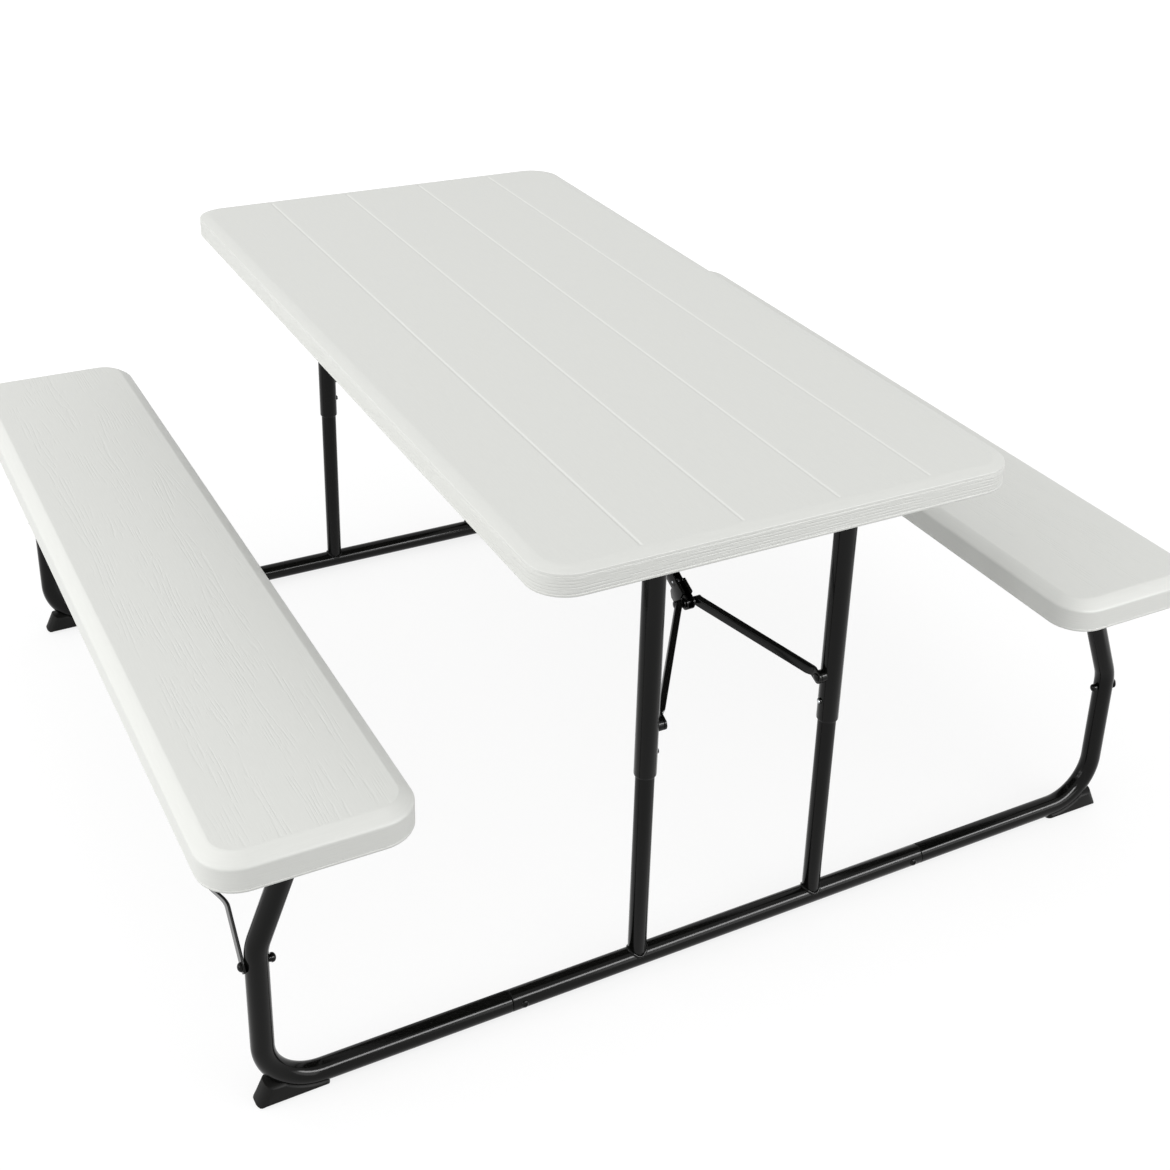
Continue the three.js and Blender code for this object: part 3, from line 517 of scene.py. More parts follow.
def bent_tube_tree():
    """Sweeps a round tube along a line of points and rounds the line's corners."""
    tree, start = new_tree("bent_tube", {
        "Tube Radius": "NodeSocketFloat",
        "Bend Radius": "NodeSocketFloat",
        "Bend Steps": "NodeSocketInt",
        "Sides": "NodeSocketInt",
    })
    line = add_node(tree, "GeometryNodeMeshToCurve", {"Mesh": start.outputs["Geometry"]})
    bent = add_node(
        tree, "GeometryNodeFilletCurve",
        {"Curve": line.outputs["Curve"], "Radius": start.outputs["Bend Radius"],
         "Count": start.outputs["Bend Steps"]},
        mode="POLY",
    )
    ring = add_node(
        tree, "GeometryNodeCurvePrimitiveCircle",
        {"Radius": start.outputs["Tube Radius"], "Resolution": start.outputs["Sides"]},
    )
    fullness = add_node(tree, "GeometryNodeInputNamedAttribute", inputs={"Name": "fullness"})
    skin = add_node(
        tree, "GeometryNodeCurveToMesh",
        {"Curve": bent.outputs["Curve"], "Profile Curve": ring.outputs["Curve"],
         "Scale": fullness.outputs["Attribute"]},
        inputs={"Fill Caps": True},
    )
    return close_tree(tree, start, skin.outputs["Mesh"])


def screw_tree():
    """Puts a domed screw head with a cross recess on each point, along the point's own facing."""
    tree, start = new_tree("screws", {
        "Head Radius": "NodeSocketFloat",
        "Head Height": "NodeSocketFloat",
        "Recess Width": "NodeSocketFloat",
    })
    ball = add_node(tree, "GeometryNodeMeshUVSphere", inputs={"Segments": 20, "Rings": 10, "Radius": 1.0})
    shape = add_node(
        tree, "ShaderNodeCombineXYZ",
        {"X": start.outputs["Head Radius"], "Y": start.outputs["Head Radius"],
         "Z": start.outputs["Head Height"]},
    )
    head = add_node(
        tree, "GeometryNodeTransform", {"Geometry": ball.outputs["Mesh"], "Scale": shape.outputs["Vector"]}
    )
    slots = []
    for long_way in ("X", "Y"):
        short_way = "Y" if long_way == "X" else "X"
        bar = add_node(
            tree, "ShaderNodeCombineXYZ",
            {long_way: start.outputs["Head Radius"], short_way: start.outputs["Recess Width"],
             "Z": start.outputs["Head Height"]},
        )
        cube = add_node(tree, "GeometryNodeMeshCube", {"Size": bar.outputs["Vector"]})
        lift = add_node(tree, "ShaderNodeCombineXYZ", {"Z": start.outputs["Head Height"]})
        slots.append(add_node(
            tree, "GeometryNodeTransform",
            {"Geometry": cube.outputs["Mesh"], "Translation": lift.outputs["Vector"]},
        ))
    first_cut = add_node(
        tree, "GeometryNodeMeshBoolean",
        {"Mesh 1": head.outputs["Geometry"], "Mesh 2": slots[0].outputs["Geometry"]},
    )
    second_cut = add_node(
        tree, "GeometryNodeMeshBoolean",
        {"Mesh 1": first_cut.outputs["Mesh"], "Mesh 2": slots[1].outputs["Geometry"]},
    )
    facing = add_node(
        tree, "GeometryNodeInputNamedAttribute", inputs={"Name": "facing"}, data_type="FLOAT_VECTOR"
    )
    turn = add_node(tree, "FunctionNodeAlignRotationToVector", {"Vector": facing.outputs["Attribute"]})
    copies = add_node(
        tree, "GeometryNodeInstanceOnPoints",
        {"Points": start.outputs["Geometry"], "Instance": second_cut.outputs["Mesh"],
         "Rotation": turn.outputs["Rotation"]},
    )
    return close_tree(tree, start, copies.outputs["Instances"])


def grow(tree, seed_mesh, values):
    """Runs a tree on a mesh and gives the result as a plain mesh."""
    seed = bpy.data.objects.new("seed", seed_mesh)
    bpy.context.scene.collection.objects.link(seed)
    modifier = seed.modifiers.new("grow", "NODES")
    modifier.node_group = tree
    for item in tree.interface.items_tree:
        if item.in_out == "INPUT" and item.name in values:
            modifier[item.identifier] = values[item.name]
    graph = bpy.context.evaluated_depsgraph_get()
    mesh = bpy.data.meshes.new_from_object(seed.evaluated_get(graph))
    bpy.data.objects.remove(seed)
    return mesh


BENT_TUBE = bent_tube_tree()
SCREWS = screw_tree()


def tube(name, points, radius, body, nodes=(), bend=0.0, ease=TUBE_END_EASE):
    """A steel tube along a line of points, with its two ends rounded over."""
    turns = [math.pi / 2 * i / END_STEPS for i in range(END_STEPS + 1)]
    ahead = (points[1] - points[0]).normalized()
    behind = (points[-2] - points[-1]).normalized()
    eased = [(ease * (1 - math.sin(t)), 1 - ease / radius * (1 - math.cos(t))) for t in reversed(turns)]
    line = [points[0] + ahead * far for far, _ in eased] + points[1:-1]
    line += [points[-1] + behind * far for far, _ in reversed(eased)]
    seed = bpy.data.meshes.new(name)
    seed.from_pydata(line, [(i, i + 1) for i in range(len(line) - 1)], [])
    ends = [full for _, full in eased]
    fullness = ends + [1.0] * (len(points) - 2) + ends[::-1]
    seed.attributes.new("fullness", "FLOAT", "POINT").data.foreach_set("value", fullness)
    mesh = grow(BENT_TUBE, seed, {
        "Tube Radius": radius,
        "Bend Radius": bend,
        "Bend Steps": BEND_STEPS,
        "Sides": TUBE_SIDES,
        "Material": STEEL,
    })
    return add_piece(name, mesh, STEEL, body, nodes)


def screws(name, places, facing, body, material=ZINC, radius=SCREW_HEAD_RADIUS):
    seed = bpy.data.meshes.new(name)
    seed.from_pydata(places, [], [])
    directions = [component for _ in places for component in facing]
    seed.attributes.new("facing", "FLOAT_VECTOR", "POINT").data.foreach_set("vector", directions)
    mesh = grow(SCREWS, seed, {
        "Head Radius": radius,
        "Head Height": SCREW_HEAD_HEIGHT * radius / SCREW_HEAD_RADIUS,
        "Recess Width": radius * 0.24,
        "Material": material,
    })
    return add_piece(name, mesh, material, body)


def weld_bead(name, radius, other_radius, foot, up, cross, body):
    """A welded seam where a tube of one radius stands on another tube that runs along cross."""
    side = up.cross(cross)
    points = []
    for i in range(WELD_POINTS):
        turn = 2 * math.pi * i / WELD_POINTS
        out = side * math.cos(turn) * radius
        rise = math.sqrt(max(other_radius ** 2 - (radius * math.cos(turn)) ** 2, 0.0))
        points.append(foot + out + cross * math.sin(turn) * radius + up * rise)
    seed = bpy.data.meshes.new(name)
    seed.from_pydata(points, [(i, (i + 1) % WELD_POINTS) for i in range(WELD_POINTS)], [])
    swell = [0.85 + 0.3 * (i % 3) / 2 for i in range(WELD_POINTS)]
    seed.attributes.new("fullness", "FLOAT", "POINT").data.foreach_set("value", swell)
    mesh = grow(BENT_TUBE, seed, {
        "Tube Radius": WELD_RADIUS,
        "Bend Radius": 0.0,
        "Bend Steps": 1,
        "Sides": 10,
        "Material": STEEL,
    })
    return add_piece(name, mesh, STEEL, body, sharp_angle=80)


# Moulded panels


def panel_ring(low, high, inset, z):
    """Level outline of a panel, drawn in by an inset."""
    radius = PANEL_CORNER - inset
    points = []
    for quarter, (sx, sy) in enumerate(((1, 1), (-1, 1), (-1, -1), (1, -1))):
        centre_x = (high.x if sx > 0 else low.x) - sx * PANEL_CORNER
        centre_y = (high.y if sy > 0 else low.y) - sy * PANEL_CORNER
        for i in range(CORNER_STEPS + 1):
            turn = (quarter + i / CORNER_STEPS) * math.pi / 2
            points.append((centre_x + radius * math.cos(turn), centre_y + radius * math.sin(turn), z))
    return points


def panel_levels(low, high, drop, softness, power, lines, wall_grain):
    """Inset, height and depth of grain at each level of a panel's wall, from its foot to its top."""
    shoulder = high.z - drop
    levels = [
        (PANEL_FOOT_EASE, low.z, 0.0),
        (PANEL_FOOT_EASE * 0.3, low.z + PANEL_FOOT_EASE * 0.3, 0.0),
        (0.0, low.z + PANEL_FOOT_EASE, 0.0),
    ]
    for height in lines:
        levels += [
            (0.0, low.z + height - WALL_LINE_HALF_HEIGHT - FLAT_GUARD, wall_grain),
            (0.0, low.z + height - WALL_LINE_HALF_HEIGHT, wall_grain),
            (WALL_LINE_DEPTH, low.z + height, 0.0),
            (0.0, low.z + height + WALL_LINE_HALF_HEIGHT, wall_grain),
            (0.0, low.z + height + WALL_LINE_HALF_HEIGHT + FLAT_GUARD, wall_grain),
        ]
    levels.append((0.0, shoulder - softness - FLAT_GUARD, wall_grain))
    band = [(i / EDGE_STEPS, (1 - i / EDGE_STEPS) ** power) for i in range(EDGE_STEPS + 1)]
    band = [(PANEL_EDGE_INSET * share, high.z - drop * fall) for share, fall in band]
    start = Vector((0.0, shoulder - softness))
    end = Vector((0.0, shoulder)).lerp(Vector(band[1]), softness / (band[1][0] * 1.4))
    if softness > band[1][0]:
        reach = [point for point in band if point[0] > softness * 0.8]
        end = Vector(reach[0])
    corner = Vector((0.0, shoulder))
    for i in range(ROUND_STEPS + 1):
        t = i / ROUND_STEPS
        point = start.lerp(corner, t).lerp(corner.lerp(end, t), t)
        levels.append((point.x, point.y, 0.0))
    levels += [(inset, z, 0.0) for inset, z in band if inset > end.x + MM * 0.1]
    levels.append((PANEL_EDGE_INSET + FLAT_GUARD, high.z, 0.0))
    return levels


def groove_form(x, y, grooves, reach):
    """How far the grooves between the planks draw the top down at a point, and whether it lies on a groove's lit
    flank, whose colour is painted paler as a highlight.
    """
    ends = min(max((reach - abs(x)) / GROOVE_RUNOUT, 0.0), 1.0)
    for groove in grooves:
        across = y - groove
        share = across / GROOVE_SLOPE if across > 0 else -across / GROOVE_STEEP
        if share < 1:
            # The lit flank of the groove gets a painted highlight
            painted_lit_flank = across > 0 and GROOVE_PAINTED_HIGHLIGHT_SPAN[0] < share < GROOVE_PAINTED_HIGHLIGHT_SPAN[1]
            return GROOVE_DEPTH * ends * (1 - share), ends * painted_lit_flank
    return 0.0, 0.0


def dimple_rise(x, y, low, high):
    """How far the underside is drawn up at a point by the oval dimples that tie the two skins."""
    column = round(x / DIMPLE_SPACING[0])
    stagger = 0.5 if column % 2 else 0.0
    centre_y = (low.y + high.y) / 2
    row = round((y - centre_y) / DIMPLE_SPACING[1] - stagger) + stagger
    dx = (x - column * DIMPLE_SPACING[0]) / DIMPLE_RADII[0]
    dy = (y - centre_y - row * DIMPLE_SPACING[1]) / DIMPLE_RADII[1]
    far = math.hypot(dx, dy)
    edge = abs(centre_y + row * DIMPLE_SPACING[1] - centre_y) + DIMPLE_RADII[1]
    if far >= 1 or edge > (high.y - low.y) / 2 - PANEL_CORNER:
        return 0.0
    return DIMPLE_DEPTH * (1 - far ** 2) ** 2


def field_grid(bm, xs, ys, height_at):
    """A level field of squares, and the edges round it."""
    rows = [[bm.verts.new((x, y, height_at(x, y))) for x in xs] for y in ys]
    for low, high in zip(rows, rows[1:]):
        for i in range(len(xs) - 1):
            bm.faces.new((low[i], low[i + 1], high[i + 1], high[i]))
    border = rows[0] + [row[-1] for row in rows[1:]] + rows[-1][-2::-1] + [row[0] for row in rows[-2:0:-1]]
    return rows, [bm.edges.get((a, b)) for a, b in zip(border, border[1:] + border[:1])]


def even_steps(start, end, step):
    count = max(1, round((end - start) / step))
    return [start + (end - start) * i / count for i in range(count + 1)]


def moulded_panel(name, node, body, grain_seed, section, top_grain, wall_grain, grooves=()):
    """A hollow panel: soft top edge, seamed wall, grained top field and dimpled underside."""
    low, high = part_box(node)
    bm = bmesh.new()
    grain_place = bm.verts.layers.float_vector.new("grain_place")
    grain_depth = bm.verts.layers.float.new("grain_depth")
    grain_wave = bm.verts.layers.float.new("grain_wave")
    groove_painted_highlight = bm.verts.layers.float.new("groove_painted_highlight")
    rows = []
    for inset, z, depth in panel_levels(low, high, wall_grain=wall_grain, **section):
        row = [bm.verts.new(point) for point in panel_ring(low, high, inset, z)]
        for vert in row:
            vert[grain_place] = (vert.co.x + vert.co.y, z * WALL_GRAIN_CLOSENESS, grain_seed + 0.5)
            vert[grain_depth] = depth
            vert[grain_wave] = WALL_WAVE
        rows.append(row)
    count = len(rows[0])
    for lower, upper in zip(rows, rows[1:]):
        for i in range(count):
            j = (i + 1) % count
            bm.faces.new((lower[i], lower[j], upper[j], upper[i]))
    field = PANEL_CORNER + FIELD_GAP
    near_edge = PANEL_EDGE_INSET + FIELD_GAP
    reach = high.x - GROOVE_END_GAP
    xs = [-high.x + near_edge, -reach, -reach + GROOVE_RUNOUT]
    xs += [-x for x in reversed(xs)]
    ys = {low.y + field, high.y - field}
    for groove in grooves:
        for i in range(GROOVE_STEPS + 1):
            ys |= {groove - GROOVE_STEEP * i / GROOVE_STEPS, groove + GROOVE_SLOPE * i / GROOVE_STEPS}
        ys |= {groove - GROOVE_STEEP - FLAT_GUARD, groove + GROOVE_SLOPE + FLAT_GUARD}
    top_rows, top_border = field_grid(
        bm, xs, sorted(ys), lambda x, y: high.z - groove_form(x, y, grooves, reach)[0]
    )
    wall_top = [bm.edges.get((rows[-1][i], rows[-1][(i + 1) % count])) for i in range(count)]
    bmesh.ops.triangle_fill(bm, edges=top_border + wall_top, use_beauty=True)
    under_xs = even_steps(low.x + field, high.x - field, UNDERSIDE_STEP)
    under_ys = even_steps(low.y + field, high.y - field, UNDERSIDE_STEP)
    under_rows, under_border = field_grid(
        bm, under_xs, under_ys, lambda x, y: low.z + dimple_rise(x, y, low, high)
    )
    wall_foot = [bm.edges.get((rows[0][i], rows[0][(i + 1) % count])) for i in range(count)]
    bmesh.ops.triangle_fill(bm, edges=under_border + wall_foot, use_beauty=True)
    for row in top_rows:
        for vert in row:
            vert[grain_place] = (vert.co.x, vert.co.y, grain_seed)
            vert[grain_depth] = top_grain
            # Marks the groove flanks whose colour is painted paler as a highlight
            vert[groove_painted_highlight] = groove_form(vert.co.x, vert.co.y, grooves, reach)[1]
            vert[grain_wave] = 1.0
    for vert in rows[-1]:
        vert[grain_place] = (vert.co.x, vert.co.y, grain_seed)
        vert[grain_wave] = 1.0
    mesh = mesh_of(bm, name)
    return add_piece(name, mesh, PLASTIC, body, (node,), sharp_angle=30)


# The table unit


def dress_table():
    grooves = [PLANK_WIDTH * (i + 1 - PLANK_COUNT / 2) for i in range(PLANK_COUNT - 1)]
    moulded_panel("table_panel", "tabletop", "table", 0.0, TABLE_SECTION, 0.4, 2.6, grooves)
    for side in SIDES:
        dress_table_rail(side)
    dress_crossbar()
    for end in ENDS:
        dress_link_pin(end)


def dress_table_rail(side):
    """A box-section rail with rounded corners, a plug in each end and screws up into the panel."""
    node = f"{side}_table_rail"
    low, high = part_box(node)
    bm = box(bmesh.new(), low, high)
    long_edges = [e for e in bm.edges if abs((e.verts[0].co - e.verts[1].co).x) > PANEL_CORNER]
    bmesh.ops.bevel(bm, geom=long_edges, offset=3 * MM, segments=4, profile=0.5, affect="EDGES")
    add_piece(f"{side}_rail_tube", mesh_of(bm, node), STEEL, "table", (node,))
    inner = Vector((0, 1.2 * MM, 1.2 * MM))
    for end, sign in ENDS.items():
        x = high.x if sign > 0 else low.x
        face = sorted((x - sign * 4 * MM, x + sign * 2 * MM))
        plug = box(
            bmesh.new(), Vector((face[0], low.y, low.z)) + inner, Vector((face[1], high.y, high.z)) - inner
        )
        ease_edges(plug, 1.2 * MM, steps=3)
        add_piece(f"{end}_{side}_rail_plug", mesh_of(plug, "plug"), RUBBER, "table")
    centre = middle(node)
    places = [(x, centre.y, low.z) for x in even_steps(low.x * 0.86, high.x * 0.86, 0.26)]
    screws(f"{side}_rail_screws", places, (0, 0, -1), "table")


def dress_crossbar():
    """The strap between the rails and its two clevis ears."""
    node = "centre_crossbar"
    low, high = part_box(node)
    strap_low = high.z - 3 * MM
    bm = box(bmesh.new(), Vector((low.x, low.y, strap_low)), high)
    half = high.x
    ear = arc((half - 8 * MM, low.z + 8 * MM), 8 * MM, -90, 0)
    outline = [(-x, z) for x, z in reversed(ear)] + ear + [(half, strap_low + MM), (-half, strap_low + MM)]
    reach = size("near_link_pin").y / 2 - PIN_HEAD_THICKNESS
    for sign in (-1, 1):
        faces = sorted((sign * (reach - 0.3 * MM), sign * (reach - 3.3 * MM)))
        plate(bm, outline, *faces)
    ease_edges(bm, 0.6 * MM)
    add_piece("crossbar_strap", mesh_of(bm, node), STEEL, "table", (node,))
    places = [(x, y, strap_low) for x in (-16 * MM, 16 * MM) for y in (-0.19, -0.075, 0.075, 0.19)]
    screws("crossbar_screws", places, (0, 0, -1), "table", radius=4 * MM)


def dress_link_pin(end):
    node = f"{end}_link_pin"
    centre = middle(node)
    half = size(node).y / 2
    shank = half - PIN_HEAD_THICKNESS
    radius = 3.7 * MM
    head = size(node).x / 2
    profile = [(-d, r) for d, r in reversed(dome(shank, PIN_HEAD_THICKNESS, head))]
    profile += [(-shank, radius), (shank, radius)] + dome(shank, PIN_HEAD_THICKNESS, head)
    bm = turned(bmesh.new(), profile, centre, (0, 1, 0))
    add_piece(f"{end}_clevis_pin", mesh_of(bm, node), ZINC, "table", (node,))


# The end frames


def dress_frame(end):
    body = f"{end}_frame"
    rail = middle(f"{end}_centre_rail")
    rail_half = size(f"{end}_centre_rail") / 2
    tube(
        f"{end}_floor_rail", [rail - Vector((0, rail_half.y, 0)), rail + Vector((0, rail_half.y, 0))],
        rail_half.x, body, (f"{end}_centre_rail",),
    )
    bar = middle(f"{end}_top_bar")
    bar_half = size(f"{end}_top_bar") / 2
    tube(
        f"{end}_hinge_bar", [bar - Vector((0, bar_half.y, 0)), bar + Vector((0, bar_half.y, 0))],
        bar_half.x, body, (f"{end}_top_bar",),
    )
    for side in SIDES:
        dress_leg(end, side, rail, rail_half.x, bar, bar_half.x)
        dress_bench_leg(end, side, rail)
        dress_foot(end, side)
        dress_strut_bolt(end, side)
        dress_seat_pivot(end, side)
        dress_button(end, side)
    outward = Vector((ENDS[end], 0, 0))
    places = []
    for sign in SIDES.values():
        joint = rail.y + sign * (rail_half.y - 16 * MM)
        places.append(Vector((rail.x, joint, rail.z)) + outward * rail_half.x)
    screws(f"{end}_rail_joint_screws", places, outward, body, STEEL, radius=5.5 * MM)


def dress_leg(end, side, rail, rail_radius, bar, bar_radius):
    """A telescopic leg: a sleeve under the hinge bar, the lower tube in it, and their welds."""
    body = f"{end}_frame"
    inward = Vector((0, -SIDES[side], 0))
    up = Vector((0, 0, 1))
    across = Vector((0, 1, 0))
    lower = f"{end}_{side}_lower_leg"
    upper = f"{end}_{side}_upper_leg"
    foot = Vector((rail.x, middle(lower).y, rail.z))
    top = Vector((bar.x, foot.y, bar.z))
    sleeve_end = Vector((top.x, top.y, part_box(upper)[0].z))
    sleeve_radius = size(upper).x / 2
    leg_radius = size(lower).x / 2
    tube(f"{end}_{side}_leg_tube", [foot, sleeve_end + up * 40 * MM], leg_radius, body, (lower,))
    tube(f"{end}_{side}_leg_sleeve", [sleeve_end, top], sleeve_radius, body, ease=SLEEVE_END_EASE)
    weld_bead(f"{end}_{side}_foot_weld", leg_radius, rail_radius, foot, up, across, body)
    weld_bead(f"{end}_{side}_hinge_weld", sleeve_radius * 0.8, bar_radius, top, -up, across, body)
    stud = brace_points(end)[2]
    base = Vector((top.x, top.y, stud.z))
    tip = abs((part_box(upper)[0] if SIDES[side] > 0 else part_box(upper)[1]).y - base.y)
    face = tip - PIN_HEAD_THICKNESS - ARM_PLATE_THICKNESS - 0.6 * MM
    profile = [(0, BOSS_RADIUS), (face - MM, BOSS_RADIUS), (face, BOSS_RADIUS - MM), (face, STUD_RADIUS)]
    profile += [(tip - PIN_HEAD_THICKNESS, STUD_RADIUS)] + dome(
        tip - PIN_HEAD_THICKNESS, PIN_HEAD_THICKNESS, PIN_HEAD_RADIUS
    )
    bm = turned(bmesh.new(), profile, base, inward)
    add_piece(f"{end}_{side}_brace_stud", mesh_of(bm, upper), STEEL, body, (upper,))


def dress_button(end, side):
    """A sprung button through the two tubes of a leg: a black barrel, worn bright at its tip."""
    node = f"{end}_{side}_snap_button"
    low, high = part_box(node)
    inward = -SIDES[side]
    centre = (low + high) / 2
    start = Vector((centre.x, high.y if inward < 0 else low.y, centre.z))
    length = high.y - low.y
    flange = size(node).x / 2
    body = f"{end}_{side}_button"
    nose = length - BUTTON_TIP_HEIGHT
    profile = [(0, flange), (BUTTON_FLANGE, flange), (BUTTON_FLANGE, BUTTON_RADIUS)]
    profile += [(nose - MM, BUTTON_RADIUS), (nose - 0.3 * MM, BUTTON_RADIUS * 0.92), (nose, BUTTON_RADIUS * 0.7)]
    bm = turned(bmesh.new(), profile, start, (0, inward, 0))
    add_piece(f"{end}_{side}_button_barrel", mesh_of(bm, node), STEEL, body, (node,))
    tip = [(nose - 0.2 * MM, BUTTON_TIP_RADIUS)] + dome(nose, BUTTON_TIP_HEIGHT, BUTTON_TIP_RADIUS)
    bm = turned(bmesh.new(), tip, start, (0, inward, 0))
    add_piece(f"{end}_{side}_button_tip", mesh_of(bm, "tip"), ZINC, body)


def dress_bench_leg(end, side, rail):
    """A tube bent up from the floor rail and in under the seat, with a plug in its top."""
    node = f"{end}_{side}_bench_leg"
    body = f"{end}_frame"
    sign = SIDES[side]
    low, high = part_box(node)
    radius = (high.x - low.x) / 2
    outside = abs(high.y if sign > 0 else low.y) - radius
    joint = size(f"{end}_centre_rail").y / 2
    pivot = middle(f"{end}_{side}_seat_pivot")
    corner = Vector((rail.x, sign * outside, BENCH_LEG_CORNER_HEIGHT))
    lean = (pivot - corner).normalized()
    top = pivot + lean * BENCH_LEG_OVERRUN
    start = Vector((rail.x, sign * (joint + 0.3 * MM), rail.z))
    floor_corner = Vector((rail.x, sign * outside, rail.z))
    tube(
        f"{end}_{side}_bench_tube", [start, floor_corner, corner, top], radius, body, (node,), BEND_RADIUS
    )
    plug = turned(
        bmesh.new(), [(-4 * MM, radius * 0.9)] + dome(0.0, 2 * MM, radius * 0.92, 4), top, lean
    )
    add_piece(f"{end}_{side}_bench_tube_plug", mesh_of(plug, "plug"), RUBBER, body)


def dress_foot(end, side):
    """A moulded wedge under a floor bend, tall at the heel, thin at the toe and rounded off all round."""
    node = f"{end}_{side}_foot"
    sign = SIDES[side]
    low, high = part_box(node)
    heel = max(abs(low.y), abs(high.y))
    toe = min(abs(low.y), abs(high.y))
    leg = f"{end}_{side}_bench_leg"
    radius = size(leg).x / 2
    centre_y = max(abs(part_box(leg)[0].y), abs(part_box(leg)[1].y)) - radius - BEND_RADIUS
    centre_z = middle(f"{end}_centre_rail").z + BEND_RADIUS
    cheek = BEND_RADIUS + FOOT_CHEEK
    meet = math.acos((centre_z - FOOT_HEEL_HEIGHT) / cheek)
    outline = [(toe, 0.0, 1.0)]
    sole, corner, back = [Vector(p) for p in ((heel - FOOT_HEEL_EASE, 0), (heel, 0), (heel, FOOT_HEEL_EASE))]
    for i in range(FOOT_STEPS + 1):
        t = i / FOOT_STEPS
        point = sole.lerp(corner, t).lerp(corner.lerp(back, t), t)
        outline.append((point.x, point.y, 1 - t))
    outline.append((heel - FOOT_HEEL_LEAN, FOOT_HEEL_HEIGHT, -1.0))
    for i in range(FOOT_STEPS + 1):
        turn = meet * (1 - i / FOOT_STEPS)
        outline.append((centre_y + cheek * math.sin(turn), centre_z - cheek * math.cos(turn), -1.0))
    outline.append((toe, centre_z - cheek, -1.0))
    x = middle(node).x
    wide = size(node).x
    rings = []
    turns = [math.pi / 2 * i / ROUND_STEPS for i in range(ROUND_STEPS + 1)]
    for face, turn in [(-1, t) for t in reversed(turns)] + [(1, t) for t in turns]:
        drawn_in = 1 - math.cos(turn)
        ring = []
        for y, z, lift in outline:
            back = heel - FOOT_HEEL_LEAN * z / FOOT_HEEL_HEIGHT - FOOT_HEEL_ROUNDING * drawn_in
            y = min(max(y, toe + FOOT_TOE_ROUNDING * drawn_in), back)
            half = (FOOT_TOE_WIDTH + (wide - FOOT_TOE_WIDTH) * (y - toe) / (heel - toe)) / 2
            out = half - FOOT_HEEL_ROUNDING * (1 - math.sin(turn))
            ring.append(Vector((x + face * out, sign * y, z + lift * FOOT_EDGE_EASE * drawn_in)))
        rings.append(ring)
    bm = loft(bmesh.new(), rings)
    add_piece(f"{end}_{side}_foot_moulding", mesh_of(bm, node), RUBBER, f"{end}_frame", (node,))


def dress_strut_bolt(end, side):
    """A carriage bolt through a bench leg, with its dome outside and a cap nut inside."""
    node = f"{end}_{side}_strut_bolt"
    sign = SIDES[side]
    low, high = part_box(node)
    centre = (low + high) / 2
    inner = high.y if sign < 0 else low.y
    length = high.y - low.y
    start = Vector((centre.x, inner, centre.z))
    nut = dome(0.0, BOLT_HEAD_HEIGHT, BOLT_HEAD_RADIUS, 6)
    profile = [(BOLT_HEAD_HEIGHT - rise, radius) for rise, radius in reversed(nut)]
    profile += [(CAP_NUT_SKIRT, BOLT_HEAD_RADIUS), (CAP_NUT_SKIRT, CAP_NUT_NECK_RADIUS)]
    profile += [(CAP_NUT_LENGTH, CAP_NUT_NECK_RADIUS), (CAP_NUT_LENGTH, BOLT_RADIUS)]
    profile += [(length - BOLT_HEAD_HEIGHT, BOLT_RADIUS)]
    profile += dome(length - BOLT_HEAD_HEIGHT, BOLT_HEAD_HEIGHT, BOLT_HEAD_RADIUS, 6)
    bm = turned(bmesh.new(), profile, start, (0, sign, 0))
    add_piece(f"{end}_{side}_carriage_bolt", mesh_of(bm, node), STEEL, f"{end}_frame", (node,))


def dress_seat_pivot(end, side):
    node = f"{end}_{side}_seat_pivot"
    centre = middle(node)
    half = size(node).y / 2
    radius = size(node).x / 2
    profile = [(-half, radius * 0.8), (-half + 1.5 * MM, radius), (half - 1.5 * MM, radius)]
    profile.append((half, radius * 0.8))
    bm = turned(bmesh.new(), profile, centre, (0, 1, 0), sides=40)
    add_piece(f"{end}_{side}_pivot_bar", mesh_of(bm, node), STEEL, f"{end}_frame", (node,))


# The braces


def brace_points(end):
    """Clevis pin, knuckle and leg stud of one brace, in line on the table's middle plane."""
    pin = middle(f"{end}_link_pin")
    knuckle = middle(f"{end}_knuckle_pin")
    frame_x = middle(f"{end}_centre_rail").x
    along = knuckle - pin
    stud = pin + along * ((frame_x - pin.x) / along.x)
    return pin, knuckle, stud


def brace_frame(end):
    """Axes of a brace: X from the clevis pin out to the stud, Z square to it and up."""
    pin, knuckle, stud = brace_points(end)
    along = (stud - pin).normalized()
    across = Vector((0, ENDS[end], 0))
    up = along.cross(across)
    turn = Matrix((along, across, up)).transposed().to_4x4()
    return Matrix.Translation(pin) @ turn, (knuckle - pin).length, (stud - pin).length


def flat_oval(x, y, width, height):
    """Section of a flattened rod, square to a brace."""
    ring = []
    for i in range(ARM_SIDES):
        turn = 2 * math.pi * i / ARM_SIDES
        c, s = math.cos(turn), math.sin(turn)
        ring.append(Vector((
            x,
            y + math.copysign(abs(c) ** ARM_SQUARENESS, c) * width / 2,
            math.copysign(abs(s) ** ARM_SQUARENESS, s) * height / 2,
        )))
    return ring


